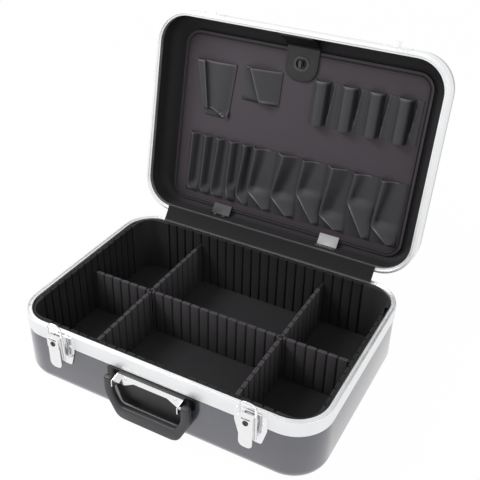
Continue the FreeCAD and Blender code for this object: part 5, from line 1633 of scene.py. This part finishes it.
def make_studio(c, t):
    """A pale floor, plain soft light and the camera at the photograph's angle."""
    reach = 6
    white_share = 0.985
    corners = ((-reach, -reach), (reach, -reach), (reach, reach), (-reach, reach))
    floor = mesh_piece("studio_floor", [(x, y, -0.0004) for x, y in corners],
                       [(0, 1, 2, 3)])
    material = bpy.data.materials.new("Studio floor")
    material.use_nodes = True
    tree = material.node_tree
    pale = tree.nodes["Principled BSDF"]
    pale.inputs["Base Color"].default_value = (*c.floor[:3], 1)
    pale.inputs["Roughness"].default_value = 0.8
    glow = add_node(tree, "ShaderNodeEmission", {"Color": (1, 1, 1, 1), "Strength": 1.0})
    share = maths(tree, "MULTIPLY", seen_or_mirrored(tree), white_share)
    both = add_node(tree, "ShaderNodeMixShader", {
        0: share, 1: pale.outputs["BSDF"], 2: glow.outputs["Emission"],
    })
    tree.links.new(both.outputs["Shader"], tree.nodes["Material Output"].inputs["Surface"])
    floor.data.materials.append(material)
    world = bpy.data.worlds.new("Studio")
    bpy.context.scene.world = world
    world.use_nodes = True
    tree = world.node_tree
    sky = tree.nodes["Background"]
    sky.inputs["Color"].default_value = (1, 1, 1, 1)
    level = ranged(tree, seen_or_mirrored(tree), 0.0, 1.0, t.sky)
    tree.links.new(level, sky.inputs["Strength"])
    lamps = (
        ("key_lamp", (-1.3, -0.7, 1.7), (0.0, 0.05, 0.2), 0.8, t.key),
        ("side_lamp", (1.9, -0.6, 0.9), (0.0, 0.0, 0.1), 1.4, t.side),
    )
    for name, place, aim, size, power in lamps:
        lamp = bpy.data.lights.new(name, "AREA")
        lamp.shape = "SQUARE"
        lamp.size = size
        lamp.energy = power
        holder = bpy.data.objects.new(name, lamp)
        bpy.context.scene.collection.objects.link(holder)
        holder.location = place
        away = Vector(aim) - Vector(place)
        holder.rotation_euler = away.to_track_quat("-Z", "Y").to_euler()
    camera = bpy.data.cameras.new("camera")
    camera.lens = t.lens
    camera.sensor_width = 36
    camera.clip_start = 0.01
    viewer = bpy.data.objects.new("camera", camera)
    bpy.context.scene.collection.objects.link(viewer)
    forward = Vector((-math.sin(t.camera_yaw) * math.cos(t.camera_pitch),
                      math.cos(t.camera_yaw) * math.cos(t.camera_pitch),
                      -math.sin(t.camera_pitch)))
    right = Vector((math.cos(t.camera_yaw), math.sin(t.camera_yaw), 0))
    up = right.cross(forward)
    across = math.cos(t.camera_roll) * right + math.sin(t.camera_roll) * up
    rising = math.cos(t.camera_roll) * up - math.sin(t.camera_roll) * right
    axes = Matrix((across, rising, -forward)).transposed().to_4x4()
    viewer.matrix_world = Matrix.Translation(t.camera_place) @ axes
    bpy.context.scene.camera = viewer
    bpy.context.scene.view_settings.view_transform = "Standard"


# Operators

def case_settings(context):
    return context.scene.case_sizes, context.scene.case_colours


class CASE_OT_shells(bpy.types.Operator):
    """Mould the base's and the lid's shells"""
    bl_idname = "case.shells"
    bl_label = "Shells"

    def execute(self, context):
        make_shells(*case_settings(context))
        return {"FINISHED"}


class CASE_OT_frames(bpy.types.Operator):
    """Bend the aluminium frames round both rims"""
    bl_idname = "case.frames"
    bl_label = "Frames"

    def execute(self, context):
        make_frames(*case_settings(context))
        return {"FINISHED"}


class CASE_OT_foam(bpy.types.Operator):
    """Fit the ribbed liner and the foam floor"""
    bl_idname = "case.foam"
    bl_label = "Liner and floor"

    def execute(self, context):
        make_liner(*case_settings(context))
        make_floor(*case_settings(context))
        return {"FINISHED"}


class CASE_OT_dividers(bpy.types.Operator):
    """Cut the ribbed dividers"""
    bl_idname = "case.dividers"
    bl_label = "Dividers"

    def execute(self, context):
        make_dividers(*case_settings(context))
        return {"FINISHED"}


class CASE_OT_hinges(bpy.types.Operator):
    """Fit the hinges and the flexible flap over them"""
    bl_idname = "case.hinges"
    bl_label = "Hinges and flap"

    def execute(self, context):
        make_hinges(*case_settings(context))
        make_flap(context.scene.case_colours)
        return {"FINISHED"}


class CASE_OT_lining(bpy.types.Operator):
    """Glue the cloth into the lid"""
    bl_idname = "case.lining"
    bl_label = "Lid lining"

    def execute(self, context):
        make_lining(*case_settings(context))
        return {"FINISHED"}


class CASE_OT_latches(bpy.types.Operator):
    """Fit the two draw latches and their keepers"""
    bl_idname = "case.latches"
    bl_label = "Latches"

    def execute(self, context):
        make_latches(*case_settings(context))
        return {"FINISHED"}


class CASE_OT_handle(bpy.types.Operator):
    """Hang the carrying handle"""
    bl_idname = "case.handle"
    bl_label = "Handle"

    def execute(self, context):
        make_handle(*case_settings(context))
        return {"FINISHED"}


class CASE_OT_panel(bpy.types.Operator):
    """Cover the tool panel and fit its clips"""
    bl_idname = "case.panel"
    bl_label = "Tool panel"

    def execute(self, context):
        make_panel(*case_settings(context))
        make_clips(*case_settings(context))
        return {"FINISHED"}


class CASE_OT_strap(bpy.types.Operator):
    """Sew the panel strap and fit its turn button"""
    bl_idname = "case.strap"
    bl_label = "Strap"

    def execute(self, context):
        make_strap(*case_settings(context))
        return {"FINISHED"}


class CASE_OT_pockets(bpy.types.Operator):
    """Fold and sew the pockets and loops"""
    bl_idname = "case.pockets"
    bl_label = "Pockets"

    def execute(self, context):
        make_pockets(*case_settings(context))
        return {"FINISHED"}


class CASE_OT_studio(bpy.types.Operator):
    """Set the floor, the light and the camera"""
    bl_idname = "case.studio"
    bl_label = "Studio"

    def execute(self, context):
        make_studio(context.scene.case_colours, context.scene.case_studio)
        return {"FINISHED"}


STEPS = (
    CASE_OT_shells, CASE_OT_frames, CASE_OT_foam, CASE_OT_dividers, CASE_OT_hinges,
    CASE_OT_lining, CASE_OT_latches, CASE_OT_handle, CASE_OT_panel, CASE_OT_strap,
    CASE_OT_pockets, CASE_OT_studio,
)


class CASE_PT_sidebar(bpy.types.Panel):
    """Lists the steps and the settings of the tool case"""
    bl_idname = "CASE_PT_sidebar"
    bl_label = "Hard tool case"
    bl_space_type = "VIEW_3D"
    bl_region_type = "UI"
    bl_category = "Tool case"

    def draw(self, context):
        column = self.layout.column(align=True)
        for step in STEPS:
            column.operator(step.bl_idname)
        for settings in (context.scene.case_sizes, context.scene.case_colours,
                         context.scene.case_studio):
            box = self.layout.box()
            for name in settings.bl_rna.properties.keys():
                if name not in ("name", "rna_type"):
                    box.prop(settings, name)


CLASSES = (CaseSizes, CaseColours, CaseStudio, *STEPS, CASE_PT_sidebar)


def register():
    for item in CLASSES:
        bpy.utils.register_class(item)
    bpy.types.Scene.case_sizes = bpy.props.PointerProperty(type=CaseSizes)
    bpy.types.Scene.case_colours = bpy.props.PointerProperty(type=CaseColours)
    bpy.types.Scene.case_studio = bpy.props.PointerProperty(type=CaseStudio)


def unregister():
    del bpy.types.Scene.case_studio
    del bpy.types.Scene.case_colours
    del bpy.types.Scene.case_sizes
    for item in reversed(CLASSES):
        bpy.utils.unregister_class(item)


def main():
    register()
    for step in STEPS:
        group, name = step.bl_idname.split(".")
        getattr(getattr(bpy.ops, group), name)()


if __name__ == "__main__":
    main()
